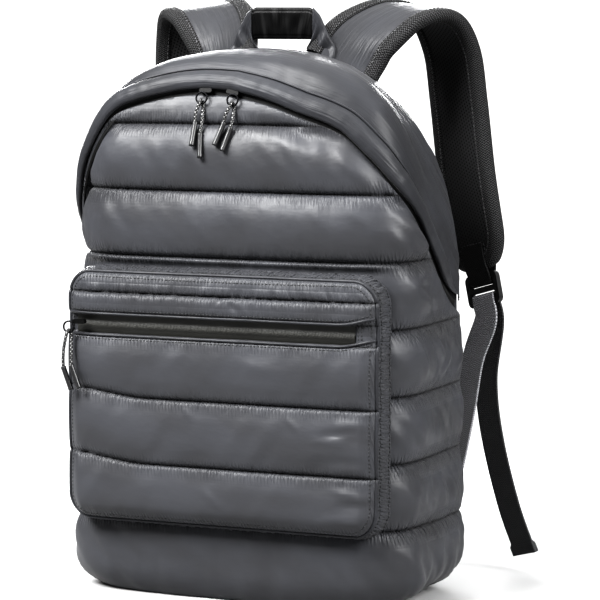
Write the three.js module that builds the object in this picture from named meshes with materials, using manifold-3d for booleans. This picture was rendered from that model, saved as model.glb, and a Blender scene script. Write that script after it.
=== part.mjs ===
// A quilted puffer backpack that stands on its base, in millimetres, +Z up.
// The front faces -Y, the padded back panel +Y. One swollen arch-shaped hull
// gives the shell, the top gusset, the zip and the back panel their places.
import * as THREE from 'three';
import { mergeVertices } from 'three/addons/utils/BufferGeometryUtils.js';
import Module from 'manifold-3d';

const wasm = await Module();
wasm.setup();

// Driving dimensions
const bodyWidth = 296;
const bodyHeight = 439;
const frontDepth = 78;      // centre line to the front quilt seams, at the base
const panelDepth = 67;      // centre line to the back panel, at the base
const baseRound = 38;       // height over which the lower edge rounds
const quiltPitch = 53.2;    // height of one padded channel
const firstQuiltLine = 63;  // height of the lowest stitched line
const puff = 6;             // how far a channel swells past its seams
const shellWall = 3;        // quilted cloth and wadding at a seam
const gussetWall = 2.4;
const panelThickness = 10;
const baseThickness = 6;
const clearance = 0.3;      // gap between pieces that touch on the real bag

const zipHalfWidth = 7;     // half of the tape band, measured upright
const tapeThickness = 1.6;
const tapeSink = 1.4;       // tape lies this far under the hull surface
const weltWidth = 15;
const weltThickness = 5;
const weltOverhang = 1.5;    // how far the flap reaches over the tape

const pocketWidth = 276;
const pocketBottom = 59;
const pocketTop = 267;
const pocketDepth = 97;     // centre line to the pocket's quilt seams
const pocketCorner = 24;
const pocketWall = 3;
const pocketPuff = 5;
const pocketLine = 110;     // height of the pocket's lowest stitched line
const pocketZipHeight = 223;
const pocketZipWidth = 16;
const pocketZipLeft = 127;  // zip slot ends, from the centre line
const pocketZipRight = 117;
const pipingDiameter = 4;

const handleSpan = 96;      // across the two sewn ends
const handleGrip = 55;
const handleWidth = 26;
const handleRise = 35;      // top of the grip over the bag's top
const handleThickness = 4;

const strapWidth = 58;
const strapThickness = 10;
const bindingDiameter = 4.4;
const webWidth = 25;
const webThickness = 1.8;
const lockWidth = 37;
const lockHeight = 27;
const lockThickness = 4.5;
const lockBar = 4.5;

const ringRadius = 4.6;
const ringWire = 1.5;
const cordDiameter = 2.6;
const tubeDiameter = 4.4;
const tubeLength = 20;
const sliderWidth = 3.6;    // across the tape, in the gap under the flap
const sliderLength = 11;
const sliderHeight = 4;

// Sections of the hull. Each row is one height, with the front and back
// planes as shares of the depth that each follows. The hull runs on behind
// the panel plane, so that the panel meets the sides at a clear seam.
const depthRows = [
  { height: 0.0, front: 0.95, panel: 0.97, behind: 1.44 },
  { height: 0.2, front: 1.0, panel: 1.0, behind: 1.47 },
  { height: 0.5, front: 1.0, panel: 1.0, behind: 1.47 },
  { height: 0.75, front: 0.963, panel: 0.83, behind: 1.26 },
  { height: 1.0, front: 0.864, panel: 0.486, behind: 0.886 },
];
// Outline of a slice seen from the front. Each row is one place from front
// to back, with the height where the sides start to lean in, as a share of
// the bag's height, and how square the shoulders are.
const archRows = [
  { along: 0.0, spring: 0.66, square: 3.3 },
  { along: 0.5, spring: 0.58, square: 2.5 },
  { along: 1.0, spring: 0.56, square: 2.25 },
];
const sectionSquare = 5;
const belowFloor = 10;      // the rounded base would end here without its flat

// Height of the main zip around the bag, as shares of the bag's height.
// The turn is counted from the front, in degrees, to either side.
const zipRows = [
  { turn: 0, left: 0.936, right: 0.936 },
  { turn: 24, left: 0.938, right: 0.921 },
  { turn: 40, left: 0.932, right: 0.9 },
  { turn: 54, left: 0.914, right: 0.87 },
  { turn: 61, left: 0.888, right: 0.82 },
  { turn: 66, left: 0.818, right: 0.777 },
  { turn: 72, left: 0.72, right: 0.735 },
  { turn: 84, left: 0.645, right: 0.658 },
  { turn: 101, left: 0.56, right: 0.563 },
  { turn: 116, left: 0.52, right: 0.52 },
];
const zipEndTurn = 116;

// The right shoulder strap's middle line, in shares of half the bag's width,
// the panel depth and the bag's height, with the way its width points.
const strapRows = [
  { out: 0.37, back: 0.66, up: 0.992, across: [0.88, 0.1, -0.46] },
  { out: 0.44, back: 0.86, up: 1.03, across: [0.9, -0.16, -0.4] },
  { out: 0.59, back: 1.18, up: 1.066, across: [0.91, -0.36, -0.2] },
  { out: 0.73, back: 1.48, up: 1.06, across: [0.91, -0.4, -0.1] },
  { out: 0.8, back: 1.7, up: 1.0, across: [0.9, -0.43, 0] },
  { out: 0.83, back: 1.8, up: 0.9, across: [0.9, -0.43, 0] },
  { out: 0.88, back: 1.8, up: 0.76, across: [0.9, -0.43, 0] },
  { out: 0.95, back: 1.73, up: 0.64, across: [0.9, -0.43, 0] },
  { out: 0.985, back: 1.69, up: 0.59, across: [0.9, -0.43, 0] },
];
// The webbing from the lower corner to the lock, and the free tail from it.
const lowerWebRows = [
  { out: 0.83, back: 1.27, up: 0.13 },
  { out: 0.87, back: 1.42, up: 0.2 },
  { out: 0.92, back: 1.57, up: 0.32 },
  { out: 0.96, back: 1.63, up: 0.42 },
];
const tailRows = [
  { out: 1.01, back: 1.78, up: 0.38 },
  { out: 1.05, back: 1.84, up: 0.25 },
  { out: 1.13, back: 1.91, up: 0.128 },
  { out: 1.23, back: 1.97, up: 0.036 },
];

// Colours and finishes
const nylon = new THREE.MeshStandardMaterial({ color: 0x5c5e63, roughness: 0.5 });
const smoothNylon = new THREE.MeshStandardMaterial({ color: 0x66686d, roughness: 0.5 });
const blackMesh = new THREE.MeshStandardMaterial({ color: 0x17181a, roughness: 0.9 });
const blackWeb = new THREE.MeshStandardMaterial({ color: 0x1d1e20, roughness: 0.8 });
const greyWeb = new THREE.MeshStandardMaterial({ color: 0x3a3c40, roughness: 0.8 });
const zipCloth = new THREE.MeshStandardMaterial({ color: 0x131313, roughness: 0.6 });
const darkMetal = new THREE.MeshStandardMaterial({ color: 0x4a4c50, roughness: 0.35, metalness: 1 });
const darkPlastic = new THREE.MeshStandardMaterial({ color: 0x1a1b1d, roughness: 0.4 });

const radians = THREE.MathUtils.degToRad;
const point = (x, y, z) => new THREE.Vector3(x, y, z);

// A smooth value between the rows of a table, from its own slopes.
function between(rows, key, value, at) {
  const last = rows.length - 1;
  const place = Math.min(Math.max(at, rows[0][key]), rows[last][key]);
  let i = 0;
  while (i < last - 1 && rows[i + 1][key] < place) i += 1;
  const slope = (k) => {
    const a = Math.max(k - 1, 0);
    const b = Math.min(k + 1, last);
    return (rows[b][value] - rows[a][value]) / (rows[b][key] - rows[a][key]);
  };
  const step = rows[i + 1][key] - rows[i][key];
  const t = (place - rows[i][key]) / step;
  const bend = t * t * (3 - 2 * t);
  const leave = slope(i) * step * t * (1 - t) * (1 - t);
  const arrive = slope(i + 1) * step * t * t * (t - 1);
  return rows[i][value] * (1 - bend) + rows[i + 1][value] * bend + leave + arrive;
}

const frontPlane = (z) => -frontDepth * between(depthRows, 'height', 'front', z / bodyHeight);
const panelPlane = (z) => panelDepth * between(depthRows, 'height', 'panel', z / bodyHeight);
const behindPlane = (z) => panelDepth * between(depthRows, 'height', 'behind', z / bodyHeight);

// 1 on the hull's surface, less inside it.
function hullValue(x, y, z) {
  const front = frontPlane(z);
  const behind = behindPlane(z);
  const along = THREE.MathUtils.clamp((y - front) / (behind - front), 0, 1);
  const square = between(archRows, 'along', 'square', along);
  const spring = between(archRows, 'along', 'spring', along) * bodyHeight;
  const up = Math.max(0, z - spring) / (bodyHeight - spring);
  const down = Math.max(0, baseRound - z) / (baseRound + belowFloor);
  const across = Math.abs(x) / (bodyWidth / 2);
  const arch = (across ** square + up ** square + down ** square) ** (1 / square);
  const deep = Math.abs(y - (front + behind) / 2) / ((behind - front) / 2);
  return (arch ** sectionSquare + deep ** sectionSquare) ** (1 / sectionSquare);
}

function hullNormal(p) {
  const h = 0.05;
  return point(
    hullValue(p.x + h, p.y, p.z) - hullValue(p.x - h, p.y, p.z),
    hullValue(p.x, p.y + h, p.z) - hullValue(p.x, p.y - h, p.z),
    hullValue(p.x, p.y, p.z + h) - hullValue(p.x, p.y, p.z - h),
  ).normalize();
}

// The hull point at a height and a turn, moved outward along its normal.
function hullPoint(turn, z, out = 0) {
  const way = point(Math.sin(turn), -Math.cos(turn), 0);
  let inside = 0;
  let outside = bodyWidth;
  for (let i = 0; i < 40; i += 1) {
    const middle = (inside + outside) / 2;
    if (hullValue(way.x * middle, way.y * middle, z) < 1) inside = middle;
    else outside = middle;
  }
  const surface = point(way.x * inside, way.y * inside, z);
  return out === 0 ? surface : surface.addScaledVector(hullNormal(surface), out);
}

// Slides a point that lies near the hull onto it, then outward.
function ontoHull(p, out = 0) {
  const q = p.clone();
  for (let i = 0; i < 6; i += 1) {
    const normal = hullNormal(q);
    const here = hullValue(q.x, q.y, q.z);
    const ahead = hullValue(q.x + normal.x, q.y + normal.y, q.z + normal.z);
    q.addScaledVector(normal, (1 - here) / (ahead - here));
  }
  return q.addScaledVector(hullNormal(q), out);
}

const channelSwell = (z, line, pitch) => Math.abs(Math.sin(Math.PI * (z - line) / pitch)) ** 0.7;

function zipHeight(turn) {
  const degrees = Math.abs(THREE.MathUtils.radToDeg(turn));
  return bodyHeight * between(zipRows, 'turn', turn < 0 ? 'left' : 'right', degrees);
}

// A closed surface through rings of points, all with the same count and turning
// the same way. Each end is closed by a fan around its own middle.
function loft(rings) {
  const count = rings[0].length;
  const points = rings.flat();
  const middle = (ring) => ring.reduce((sum, p) => sum.add(p), point(0, 0, 0)).divideScalar(count);
  points.push(middle(rings[0]), middle(rings[rings.length - 1]));
  const faces = [];
  for (let r = 0; r < rings.length - 1; r += 1) {
    for (let k = 0; k < count; k += 1) {
      const a = r * count + k;
      const b = r * count + (k + 1) % count;
      faces.push(a, b, b + count, a, b + count, a + count);
    }
  }
  const top = (rings.length - 1) * count;
  for (let k = 0; k < count; k += 1) {
    const next = (k + 1) % count;
    faces.push(points.length - 2, next, k, points.length - 1, top + k, top + next);
  }
  return outward(points, faces);
}

// A closed tube through rings that come back to the first one.
function loftRound(rings) {
  const count = rings[0].length;
  const faces = [];
  for (let r = 0; r < rings.length; r += 1) {
    for (let k = 0; k < count; k += 1) {
      const a = r * count + k;
      const b = r * count + (k + 1) % count;
      const c = ((r + 1) % rings.length) * count;
      faces.push(a, b, c + (b % count), a, c + (b % count), c + (a % count));
    }
  }
  return outward(rings.flat(), faces);
}

// Turns the faces round when they face in, and gives the geometry.
function outward(points, faces) {
  let volume = 0;
  for (let i = 0; i < faces.length; i += 3) {
    const [a, b, c] = [points[faces[i]], points[faces[i + 1]], points[faces[i + 2]]];
    volume += a.dot(b.clone().cross(c));
  }
  const ordered = volume < 0 ? faces.slice().reverse() : faces;
  const geometry = new THREE.BufferGeometry().setFromPoints(points);
  geometry.setIndex(ordered);
  return geometry;
}

// Geometry to solid and back, for cuts and joins.
function solid(source) {
  const bare = source.clone();
  bare.deleteAttribute('normal');
  bare.deleteAttribute('uv');
  const merged = mergeVertices(bare, 1e-4);
  return new wasm.Manifold(new wasm.Mesh({
    numProp: 3,
    vertProperties: new Float32Array(merged.attributes.position.array),
    triVerts: new Uint32Array(merged.index.array),
  }));
}

function geometryOf(manifold) {
  const mesh = manifold.getMesh();
  const geometry = new THREE.BufferGeometry();
  geometry.setAttribute('position', new THREE.BufferAttribute(mesh.vertProperties, 3));
  geometry.setIndex(new THREE.BufferAttribute(mesh.triVerts, 1));
  return geometry;
}

// The largest body of a cut, without slivers.
function mainBody(manifold) {
  return manifold.decompose().sort((a, b) => b.volume() - a.volume())[0];
}

const heights = (from, to, steps) =>
  Array.from({ length: steps + 1 }, (_, i) => from + (to - from) * i / steps);

// Hull solids. The rows close up towards the crown, where the surface lies flat.
function hullSolid(levels, columns, out) {
  return solid(loft(levels.map((z) => Array.from({ length: columns }, (_, k) => {
    const turn = Math.PI * 2 * k / columns - Math.PI;
    const amount = typeof out === 'function' ? out(z, turn) : out;
    const p = hullPoint(turn, z, amount);
    return z === 0 ? p.setZ(0) : p;
  }))));
}

const crownShares = [0.62, 0.72, 0.81, 0.88, 0.93, 0.965, 0.986, 0.9985];
const crown = crownShares.map((share) => share * bodyHeight);
const foot = [0, 0.2, 0.5, 1].map((share) => share * baseRound);
const smoothLevels = [...foot, bodyHeight * 0.3, bodyHeight * 0.5, ...crown];
const smoothColumns = 32;
const innerColumns = 28;
const smoothHull = hullSolid(smoothLevels, smoothColumns, 0);

const topLine = bodyHeight * 0.955;
const stepsPerChannel = 4;
const quiltLevels = foot.slice(0, 3);
for (let z = firstQuiltLine - quiltPitch / 2; z < topLine; z += quiltPitch / stepsPerChannel) {
  if (z > foot[2] + 1) quiltLevels.push(z);
}
quiltLevels.push(topLine);
// The swelling dies away at the base and under the flap of the main zip.
const quiltOut = (z, turn) => {
  const atFoot = Math.min(1, z / baseRound);
  const room = zipHeight(turn) - zipHalfWidth - weltOverhang - z;
  const atZip = THREE.MathUtils.clamp(room / (quiltPitch / 4), 0, 1);
  return puff * channelSwell(z, firstQuiltLine, quiltPitch) * atFoot * atZip;
};
const quiltColumns = 40;
const quiltHull = hullSolid(quiltLevels, quiltColumns, quiltOut);
// The same hulls with the gap that their neighbours keep.
const smoothHullGrown = hullSolid(smoothLevels, smoothColumns, clearance);
const quiltHullGrown = hullSolid(quiltLevels, quiltColumns, (z, turn) => quiltOut(z, turn) + clearance);

// Everything above the zip line moved by an upright amount.
function aboveZip(shift) {
  const columns = 44;
  const reach = [0.001, 0.6, 2];
  const rings = reach.map((share) => Array.from({ length: columns }, (_, k) => {
    const turn = Math.PI * 2 * k / columns - Math.PI;
    const edge = hullPoint(turn, Math.min(zipHeight(turn), topLine));
    const z = share < 0.5 ? bodyHeight * 0.8 : zipHeight(turn) + shift;
    return point(edge.x * share, edge.y * share, z);
  }));
  const lid = rings[2].map((p) => p.clone().setZ(bodyHeight * 1.5));
  return solid(loft([...rings, lid]));
}

// A block across the bag between two planes that follow the back panel.
function panelBlock(near, far) {
  const levels = heights(-0.1, 1.1, 18).map((share) => share * bodyHeight);
  const outline = new THREE.Shape();
  outline.setFromPoints([
    ...levels.map((z) => new THREE.Vector2(panelPlane(z) + near, z)),
    ...levels.reverse().map((z) => new THREE.Vector2(panelPlane(z) + far, z)),
  ]);
  const geometry = new THREE.ExtrudeGeometry(outline, { depth: bodyWidth * 2, bevelEnabled: false });
  geometry.applyMatrix4(new THREE.Matrix4().makeBasis(point(0, 1, 0), point(0, 0, 1), point(1, 0, 0)));
  geometry.translate(-bodyWidth, 0, 0);
  return solid(geometry);
}

// The quilted front, sides and base in one piece, open at the zip and behind.
function quiltedShell() {
  const levels = [baseThickness, baseRound, bodyHeight * 0.4, ...crown];
  const inner = hullSolid(levels, innerColumns, -shellWall);
  return geometryOf(mainBody(quiltHull.subtract(inner)
    .subtract(aboveZip(-zipHalfWidth))
    .subtract(panelBlock(0, bodyWidth))));
}

// The smooth panel over the top, from the zip to the back seam.
function topGusset() {
  const levels = [baseRound, bodyHeight * 0.4, ...crown];
  const inner = hullSolid(levels, smoothColumns, -gussetWall);
  return geometryOf(mainBody(smoothHull.subtract(inner)
    .intersect(aboveZip(zipHalfWidth))
    .subtract(panelBlock(0, bodyWidth))));
}

function backPanel() {
  return geometryOf(smoothHull.intersect(panelBlock(clearance, panelThickness)));
}

function mainZipTape() {
  const levels = [baseRound, bodyHeight * 0.4, ...crown];
  const over = hullSolid(levels, smoothColumns, -tapeSink);
  const under = hullSolid(levels, smoothColumns, -tapeSink - tapeThickness);
  const band = aboveZip(clearance - zipHalfWidth).subtract(aboveZip(zipHalfWidth - clearance));
  return geometryOf(mainBody(over.subtract(under).intersect(band).subtract(panelBlock(0, bodyWidth))));
}

// A place on the zip line, with the zip's own way and the way up to the gusset.
function zipFrame(turn) {
  const ahead = hullPoint(turn + 0.02, zipHeight(turn + 0.02));
  const back = hullPoint(turn - 0.02, zipHeight(turn - 0.02));
  const at = hullPoint(turn, zipHeight(turn));
  const way = ahead.sub(back).normalize();
  const normal = hullNormal(at);
  return { at, way, normal, side: way.clone().cross(normal).negate().normalize() };
}

const zipFrames = (steps, end) => heights(-1, 1, steps)
  .map((share) => ({ share, ...zipFrame(radians(end) * share) }));

// The rounded flap that hangs over the main zip, thin at its two ends.
function zipWelt() {
  const profile = [[-1, 0.06], [-0.93, 0.75], [-0.5, 1], [0.2, 1], [0.8, 0.6], [1, 0.1], [0.8, 0], [-0.5, 0]];
  const rings = zipFrames(30, zipEndTurn - 8).map(({ at, side, share }) => {
    const full = Math.min(1, 0.25 + (1 - Math.abs(share)) * 5);
    const middle = weltWidth / 2 - weltOverhang;
    return profile.map(([across, up]) => {
      const reach = middle + across * weltWidth / 2 * full;
      const near = at.clone().addScaledVector(side, reach);
      return ontoHull(near, clearance * 2 + up * weltThickness * full);
    });
  });
  const flap = solid(loft(rings)).subtract(smoothHullGrown).subtract(quiltHullGrown);
  return geometryOf(mainBody(flap.subtract(panelBlock(-1, bodyWidth))));
}

// Rounded rectangle seen from the front, as points, counter-clockwise.
function roundedOutline(width, bottom, top, corner, perCorner) {
  const middles = [
    [width / 2 - corner, bottom + corner, -90],
    [width / 2 - corner, top - corner, 0],
    [-width / 2 + corner, top - corner, 90],
    [-width / 2 + corner, bottom + corner, 180],
  ];
  return middles.flatMap(([x, z, start]) => heights(start, start + 90, perCorner).map((degrees) => {
    const angle = radians(degrees);
    return [x + corner * Math.cos(angle), z + corner * Math.sin(angle)];
  }));
}

// How far forward the pocket's front lies, seams and swell together.
function pocketFront(x, z, inset) {
  const edge = Math.min(
    pocketWidth / 2 - Math.abs(x), z - pocketBottom, pocketTop - z, pocketCorner) / pocketCorner;
  const round = Math.sqrt(Math.max(0, 1 - (1 - Math.max(0, edge)) ** 2));
  const flatDepth = (pocketDepth - frontDepth) * (0.35 + 0.65 * round);
  const swell = inset > 0 ? 0 : pocketPuff * channelSwell(z, pocketLine, quiltPitch) * round;
  return -(frontDepth + flatDepth + swell - inset);
}

function pocketSolid(inset) {
  const across = heights(-1, 1, inset > 0 ? 8 : 14).map((s) => s * (pocketWidth / 2 - inset));
  const steps = inset > 0 ? 6 : 16;
  const up = heights(pocketBottom + inset, pocketTop - inset, steps);
  const back = -frontDepth + 14;
  const rings = up.map((z) => {
    const front = across.map((x) => point(x, pocketFront(x, z, inset), z));
    const rear = across.map((x) => point(x, back, z)).reverse();
    return [...front, ...rear];
  });
  return solid(loft(rings));
}

function pocketCutter(inset) {
  const outline = new THREE.Shape(
    roundedOutline(pocketWidth - 2 * inset, pocketBottom + inset, pocketTop - inset, pocketCorner - inset, 6)
      .map(([x, z]) => new THREE.Vector2(x, z)));
  const geometry = new THREE.ExtrudeGeometry(outline, { depth: bodyWidth, bevelEnabled: false });
  geometry.rotateX(Math.PI / 2);
  return solid(geometry);
}

function pocketSlot(grow) {
  const width = pocketZipLeft + pocketZipRight + 2 * grow;
  const box = new THREE.BoxGeometry(width, bodyWidth / 2, pocketZipWidth + 2 * grow);
  box.translate((pocketZipRight - pocketZipLeft) / 2, -frontDepth - bodyWidth / 4, pocketZipHeight);
  return solid(box);
}

function pocketShell() {
  const outer = pocketSolid(0).intersect(pocketCutter(0));
  const inner = pocketSolid(pocketWall).intersect(pocketCutter(pocketWall));
  return geometryOf(mainBody(outer.subtract(inner).subtract(quiltHullGrown).subtract(pocketSlot(0))));
}

function pocketZipTape() {
  const width = pocketZipLeft + pocketZipRight - 2 * clearance;
  const strip = new THREE.BoxGeometry(width, tapeThickness, pocketZipWidth - 2 * clearance);
  strip.translate((pocketZipRight - pocketZipLeft) / 2, -pocketDepth + pocketWall / 2, pocketZipHeight);
  return strip;
}

// The corded edge round the pocket's front.
function pocketPiping() {
  const inset = 5;
  const sides = 5;
  const outline = roundedOutline(pocketWidth - 2 * inset, pocketBottom + inset, pocketTop - inset,
    pocketCorner - inset, 4);
  const line = outline.flatMap(([x, z], i) => {
    const [nextX, nextZ] = outline[(i + 1) % outline.length];
    const parts = Math.max(1, Math.round(Math.hypot(nextX - x, nextZ - z) / 26));
    return heights(0, 1, parts).slice(0, -1).map((t) => [x + (nextX - x) * t, z + (nextZ - z) * t]);
  });
  const middle = (pocketBottom + pocketTop) / 2;
  const rings = line.map(([x, z]) => {
    const away = point(x * 0.6, 0, z - middle).normalize();
    const at = point(x, pocketFront(x, z, 0) - 1, z);
    return heights(0, 360, sides).slice(0, -1).map((degrees) => at.clone()
      .addScaledVector(away, pipingDiameter / 2 * Math.cos(radians(degrees)))
      .add(point(0, pipingDiameter / 2 * Math.sin(radians(degrees)), 0)));
  });
  const grown = pocketSolid(-clearance).intersect(pocketCutter(-clearance));
  return geometryOf(mainBody(solid(loftRound(rings)).subtract(grown)));
}

// Adds each station's own way, the way of its width and the way of its thickness.
function framed(stations) {
  return stations.map((station, i) => {
    const before = stations[Math.max(i - 1, 0)].at;
    const after = stations[Math.min(i + 1, stations.length - 1)].at;
    const way = after.clone().sub(before).normalize();
    const wide = station.across.clone().addScaledVector(way, -station.across.dot(way)).normalize();
    return { ...station, way, wide, thick: way.clone().cross(wide).normalize() };
  });
}

// A band along stations. Each has its place, the way of its width and its size.
function ribbon(stations, thickness) {
  return loft(framed(stations).map(({ at, width, wide, thick }) => {
    const corner = Math.min(thickness * 0.35, width * 0.2);
    const w = width / 2;
    const t = thickness / 2;
    const outline = [
      [w, -t + corner], [w, t - corner], [w - corner, t], [-w + corner, t],
      [-w, t - corner], [-w, -t + corner], [-w + corner, -t], [w - corner, -t],
    ];
    return outline.map(([a, b]) => at.clone().addScaledVector(wide, a).addScaledVector(thick, b));
  }));
}

const fromShares = (row, side) =>
  point(side * row.out * bodyWidth / 2, row.back * panelDepth, row.up * bodyHeight);

function strapStations(side, steps) {
  const line = new THREE.CatmullRomCurve3(strapRows.map((row) => fromShares(row, side)));
  const ways = new THREE.CatmullRomCurve3(
    strapRows.map((row) => point(side * row.across[0], row.across[1], row.across[2])));
  return Array.from({ length: steps + 1 }, (_, i) => {
    const t = i / steps;
    const fromEnd = (1 - t) * line.getLength();
    const round = strapWidth * 0.42;
    const share = Math.min(1, fromEnd / round);
    const narrow = 0.5 + 0.5 * Math.sqrt(1 - (1 - share) ** 2);
    return { at: line.getPoint(t), across: ways.getPoint(t), width: strapWidth * narrow };
  });
}

const strapSteps = 24;

function strapPad(side) {
  const pad = solid(ribbon(strapStations(side, strapSteps), strapThickness));
  return geometryOf(mainBody(pad.subtract(smoothHullGrown)));
}

// The bound edge of a pad: a round trim beside it, down one side and up the other.
function strapBinding(side) {
  const stations = framed(strapStations(side, strapSteps)).slice(4);
  const gap = bindingDiameter / 2 + clearance * 2;
  const beside = (station, sign, more) => station.at.clone()
    .addScaledVector(station.wide, sign * (station.width / 2 + gap + more));
  const last = stations[stations.length - 1];
  const end = last.at.clone().addScaledVector(last.way, gap + clearance);
  const turn = [-0.3, 0.3].map((share) => end.clone().addScaledVector(last.wide, share * last.width));
  const body = stations.slice(0, -1);
  const path = [...body.map((s) => beside(s, -1, 0.2)), beside(last, -1, 0.2), ...turn,
    beside(last, 1, 0.2), ...body.map((s) => beside(s, 1, 0.2)).reverse()];
  const pad = solid(ribbon(strapStations(side, strapSteps), strapThickness + 2 * clearance));
  return geometryOf(mainBody(solid(cordGeometry(path, bindingDiameter, 5, 30)).subtract(pad)));
}

// A round cord along points.
function cordGeometry(points, diameter, sides, steps) {
  const ring = new THREE.Shape(heights(0, 360, sides).slice(0, -1).map((degrees) => new THREE.Vector2(
    diameter / 2 * Math.cos(radians(degrees)), diameter / 2 * Math.sin(radians(degrees)))));
  return new THREE.ExtrudeGeometry(ring, {
    steps, bevelEnabled: false, extrudePath: new THREE.CatmullRomCurve3(points),
  });
}

// The lock's own frame: its middle, down, across and outward.
function lockFrame(side) {
  const { at, way: down, wide: across, thick } = framed(strapStations(side, strapSteps)).pop();
  const back = thick.y < 0 ? thick.negate() : thick;
  const gapToPad = 6;
  return { at: at.clone().addScaledVector(down, gapToPad + lockHeight / 2), down, across, back };
}

const inLock = (frame, a, d, b) => frame.at.clone()
  .addScaledVector(frame.across, a).addScaledVector(frame.down, d).addScaledVector(frame.back, b);

function ladderLock(side) {
  const frame = lockFrame(side);
  const outline = new THREE.Shape(roundedOutline(lockWidth, -lockHeight / 2, lockHeight / 2, 5, 4)
    .map(([x, z]) => new THREE.Vector2(x, z)));
  const slotHeight = (lockHeight - 3 * lockBar) / 2;
  for (const sign of [-1, 1]) {
    const middle = sign * (slotHeight + lockBar) / 2;
    outline.holes.push(new THREE.Path(
      roundedOutline(webWidth + 3, middle - slotHeight / 2, middle + slotHeight / 2, 1.5, 2)
        .map(([x, z]) => new THREE.Vector2(x, z))));
  }
  const geometry = new THREE.ExtrudeGeometry(outline, { depth: lockThickness, bevelEnabled: false });
  geometry.translate(0, 0, -lockThickness / 2);
  const right = frame.across.clone();
  const up = frame.down.clone().negate();
  const out = right.clone().cross(up);
  geometry.applyMatrix4(new THREE.Matrix4().makeBasis(right, up, out).setPosition(frame.at));
  return geometry;
}

// The short doubled tab that holds the lock to the pad.
function strapTab(side) {
  const frame = lockFrame(side);
  const bar = -lockHeight / 2 + lockBar / 2;
  const half = lockThickness / 2 + webThickness / 2 + clearance * 2;
  const over = strapThickness / 2 + webThickness / 2 + clearance * 3;
  const slot = (lockHeight - 3 * lockBar) / 2;
  const low = bar + lockBar / 2 + webThickness / 2 + clearance * 2 + slot * 0.1;
  const path = [
    [bar - lockBar / 2 - 18, -over], [bar - lockBar / 2 - 8, -over], [bar, -half],
    [low - 0.3, -half * 0.8], [low + 0.5, 0], [low - 0.3, half * 0.8],
    [bar, half], [bar - lockBar / 2 - 8, over], [bar - lockBar / 2 - 18, over],
  ];
  const stations = path.map(([d, b]) => ({
    at: inLock(frame, 0, d, b), across: frame.across, width: webWidth,
  }));
  return ribbon(stations, webThickness);
}

// One strip: up from the lower corner, over the lock's lower bar, then the tail.
function adjusterWeb(side) {
  const frame = lockFrame(side);
  const half = lockThickness / 2 + webThickness / 2 + clearance * 1.5;
  const bar = lockHeight / 2 - lockBar / 2;
  const over = bar - lockBar / 2 - webThickness / 2 - clearance * 2;
  const around = [[bar + 12, -half], [bar, -half], [over + 0.6, -half * 0.8], [over, 0],
    [over + 0.6, half * 0.8], [bar, half], [bar + 12, half + 1]]
    .map(([d, b]) => inLock(frame, 0, d, b));
  const lower = lowerWebRows.map((row) => fromShares(row, side));
  const tail = tailRows.map((row) => fromShares(row, side));
  const points = [...lower, ...around, ...tail];
  const line = new THREE.CatmullRomCurve3(points, false, 'centripetal');
  const places = points.flatMap((_, i) => {
    const tight = i >= lower.length && i < lower.length + around.length - 1;
    const parts = i === points.length - 1 ? 0 : (tight ? 1 : 3);
    return parts ? heights(i, i + 1, parts).slice(0, -1) : [i];
  });
  const stations = places.map((place) => ({
    at: line.getPoint(place / (points.length - 1)), across: frame.across, width: webWidth,
  }));
  return ribbon(stations, webThickness);
}

// The sewn wedge at a lower back corner: it carries on from the webbing's end to the panel.
function webAnchor(side) {
  const across = lockFrame(side).across;
  const end = fromShares(lowerWebRows[0], side);
  const way = end.clone().sub(fromShares(lowerWebRows[1], side)).normalize();
  const reach = (end.y - panelPlane(end.z) - panelThickness) / -way.y + 6;
  const stations = [clearance, reach].map((length, i) => ({
    at: end.clone().addScaledVector(way, length), across, width: webWidth * (i ? 1.8 : 1),
  }));
  const plate = solid(ribbon(stations, webThickness));
  return geometryOf(mainBody(plate.subtract(panelBlock(-bodyWidth / 4, panelThickness + clearance))));
}

// The grab handle lies flat in an upright plane: a grip and two faced ends.
const handlePlace = () => panelPlane(bodyHeight) + 2;
const handleTop = bodyHeight + handleRise;

function handleBand(points) {
  const outline = new THREE.Shape(points.map(([x, z]) => new THREE.Vector2(x, z)));
  const geometry = new THREE.ExtrudeGeometry(outline, { depth: handleThickness, bevelEnabled: false });
  geometry.rotateX(Math.PI / 2);
  geometry.translate(0, handlePlace() + handleThickness / 2, 0);
  return geometry;
}

function handleGripBand() {
  const x = handleGrip / 2;
  const low = handleTop - handleWidth;
  return handleBand([[-x, low], [-x / 2, low + 0.6], [x / 2, low + 0.6], [x, low],
    [x, handleTop - 1.5], [x / 2, handleTop], [-x / 2, handleTop], [-x, handleTop - 1.5]]);
}

function handleEnd(side) {
  const x = handleGrip / 2 + clearance;
  const low = handleTop - handleWidth;
  const foot = bodyHeight - 16;
  const outer = handleSpan / 2;
  const points = [[x, low], [x, handleTop - 1.5], [x + 4, handleTop - 6], [x + 12, bodyHeight + 16],
    [outer, bodyHeight], [outer, foot], [outer - handleWidth, foot], [outer - handleWidth, bodyHeight + 2]];
  const band = solid(handleBand(points.map(([a, z]) => [side * a, z])));
  return geometryOf(mainBody(band.subtract(smoothHullGrown)));
}

// Rings, cords, cord ends and sliders.
function ringGeometry() {
  return new THREE.TorusGeometry(ringRadius, ringWire / 2, 5, 12);
}

// A slider lies along the tape, its flat back towards +Y before it is placed.
function sliderGeometry() {
  const outline = new THREE.Shape(roundedOutline(sliderLength, -sliderWidth / 2, sliderWidth / 2, 1.6, 3)
    .map(([x, z]) => new THREE.Vector2(x, z)));
  const geometry = new THREE.ExtrudeGeometry(outline, { depth: sliderHeight, bevelEnabled: false });
  return geometry.rotateX(Math.PI / 2);
}

function tubeGeometry(length) {
  const r = tubeDiameter / 2;
  const profile = [[0, 0], [r * 0.8, 0], [r, 1], [r, length - 1], [r * 0.8, length], [0, length]]
    .map(([x, y]) => new THREE.Vector2(x, y));
  return new THREE.LatheGeometry(profile, 8);
}

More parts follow.
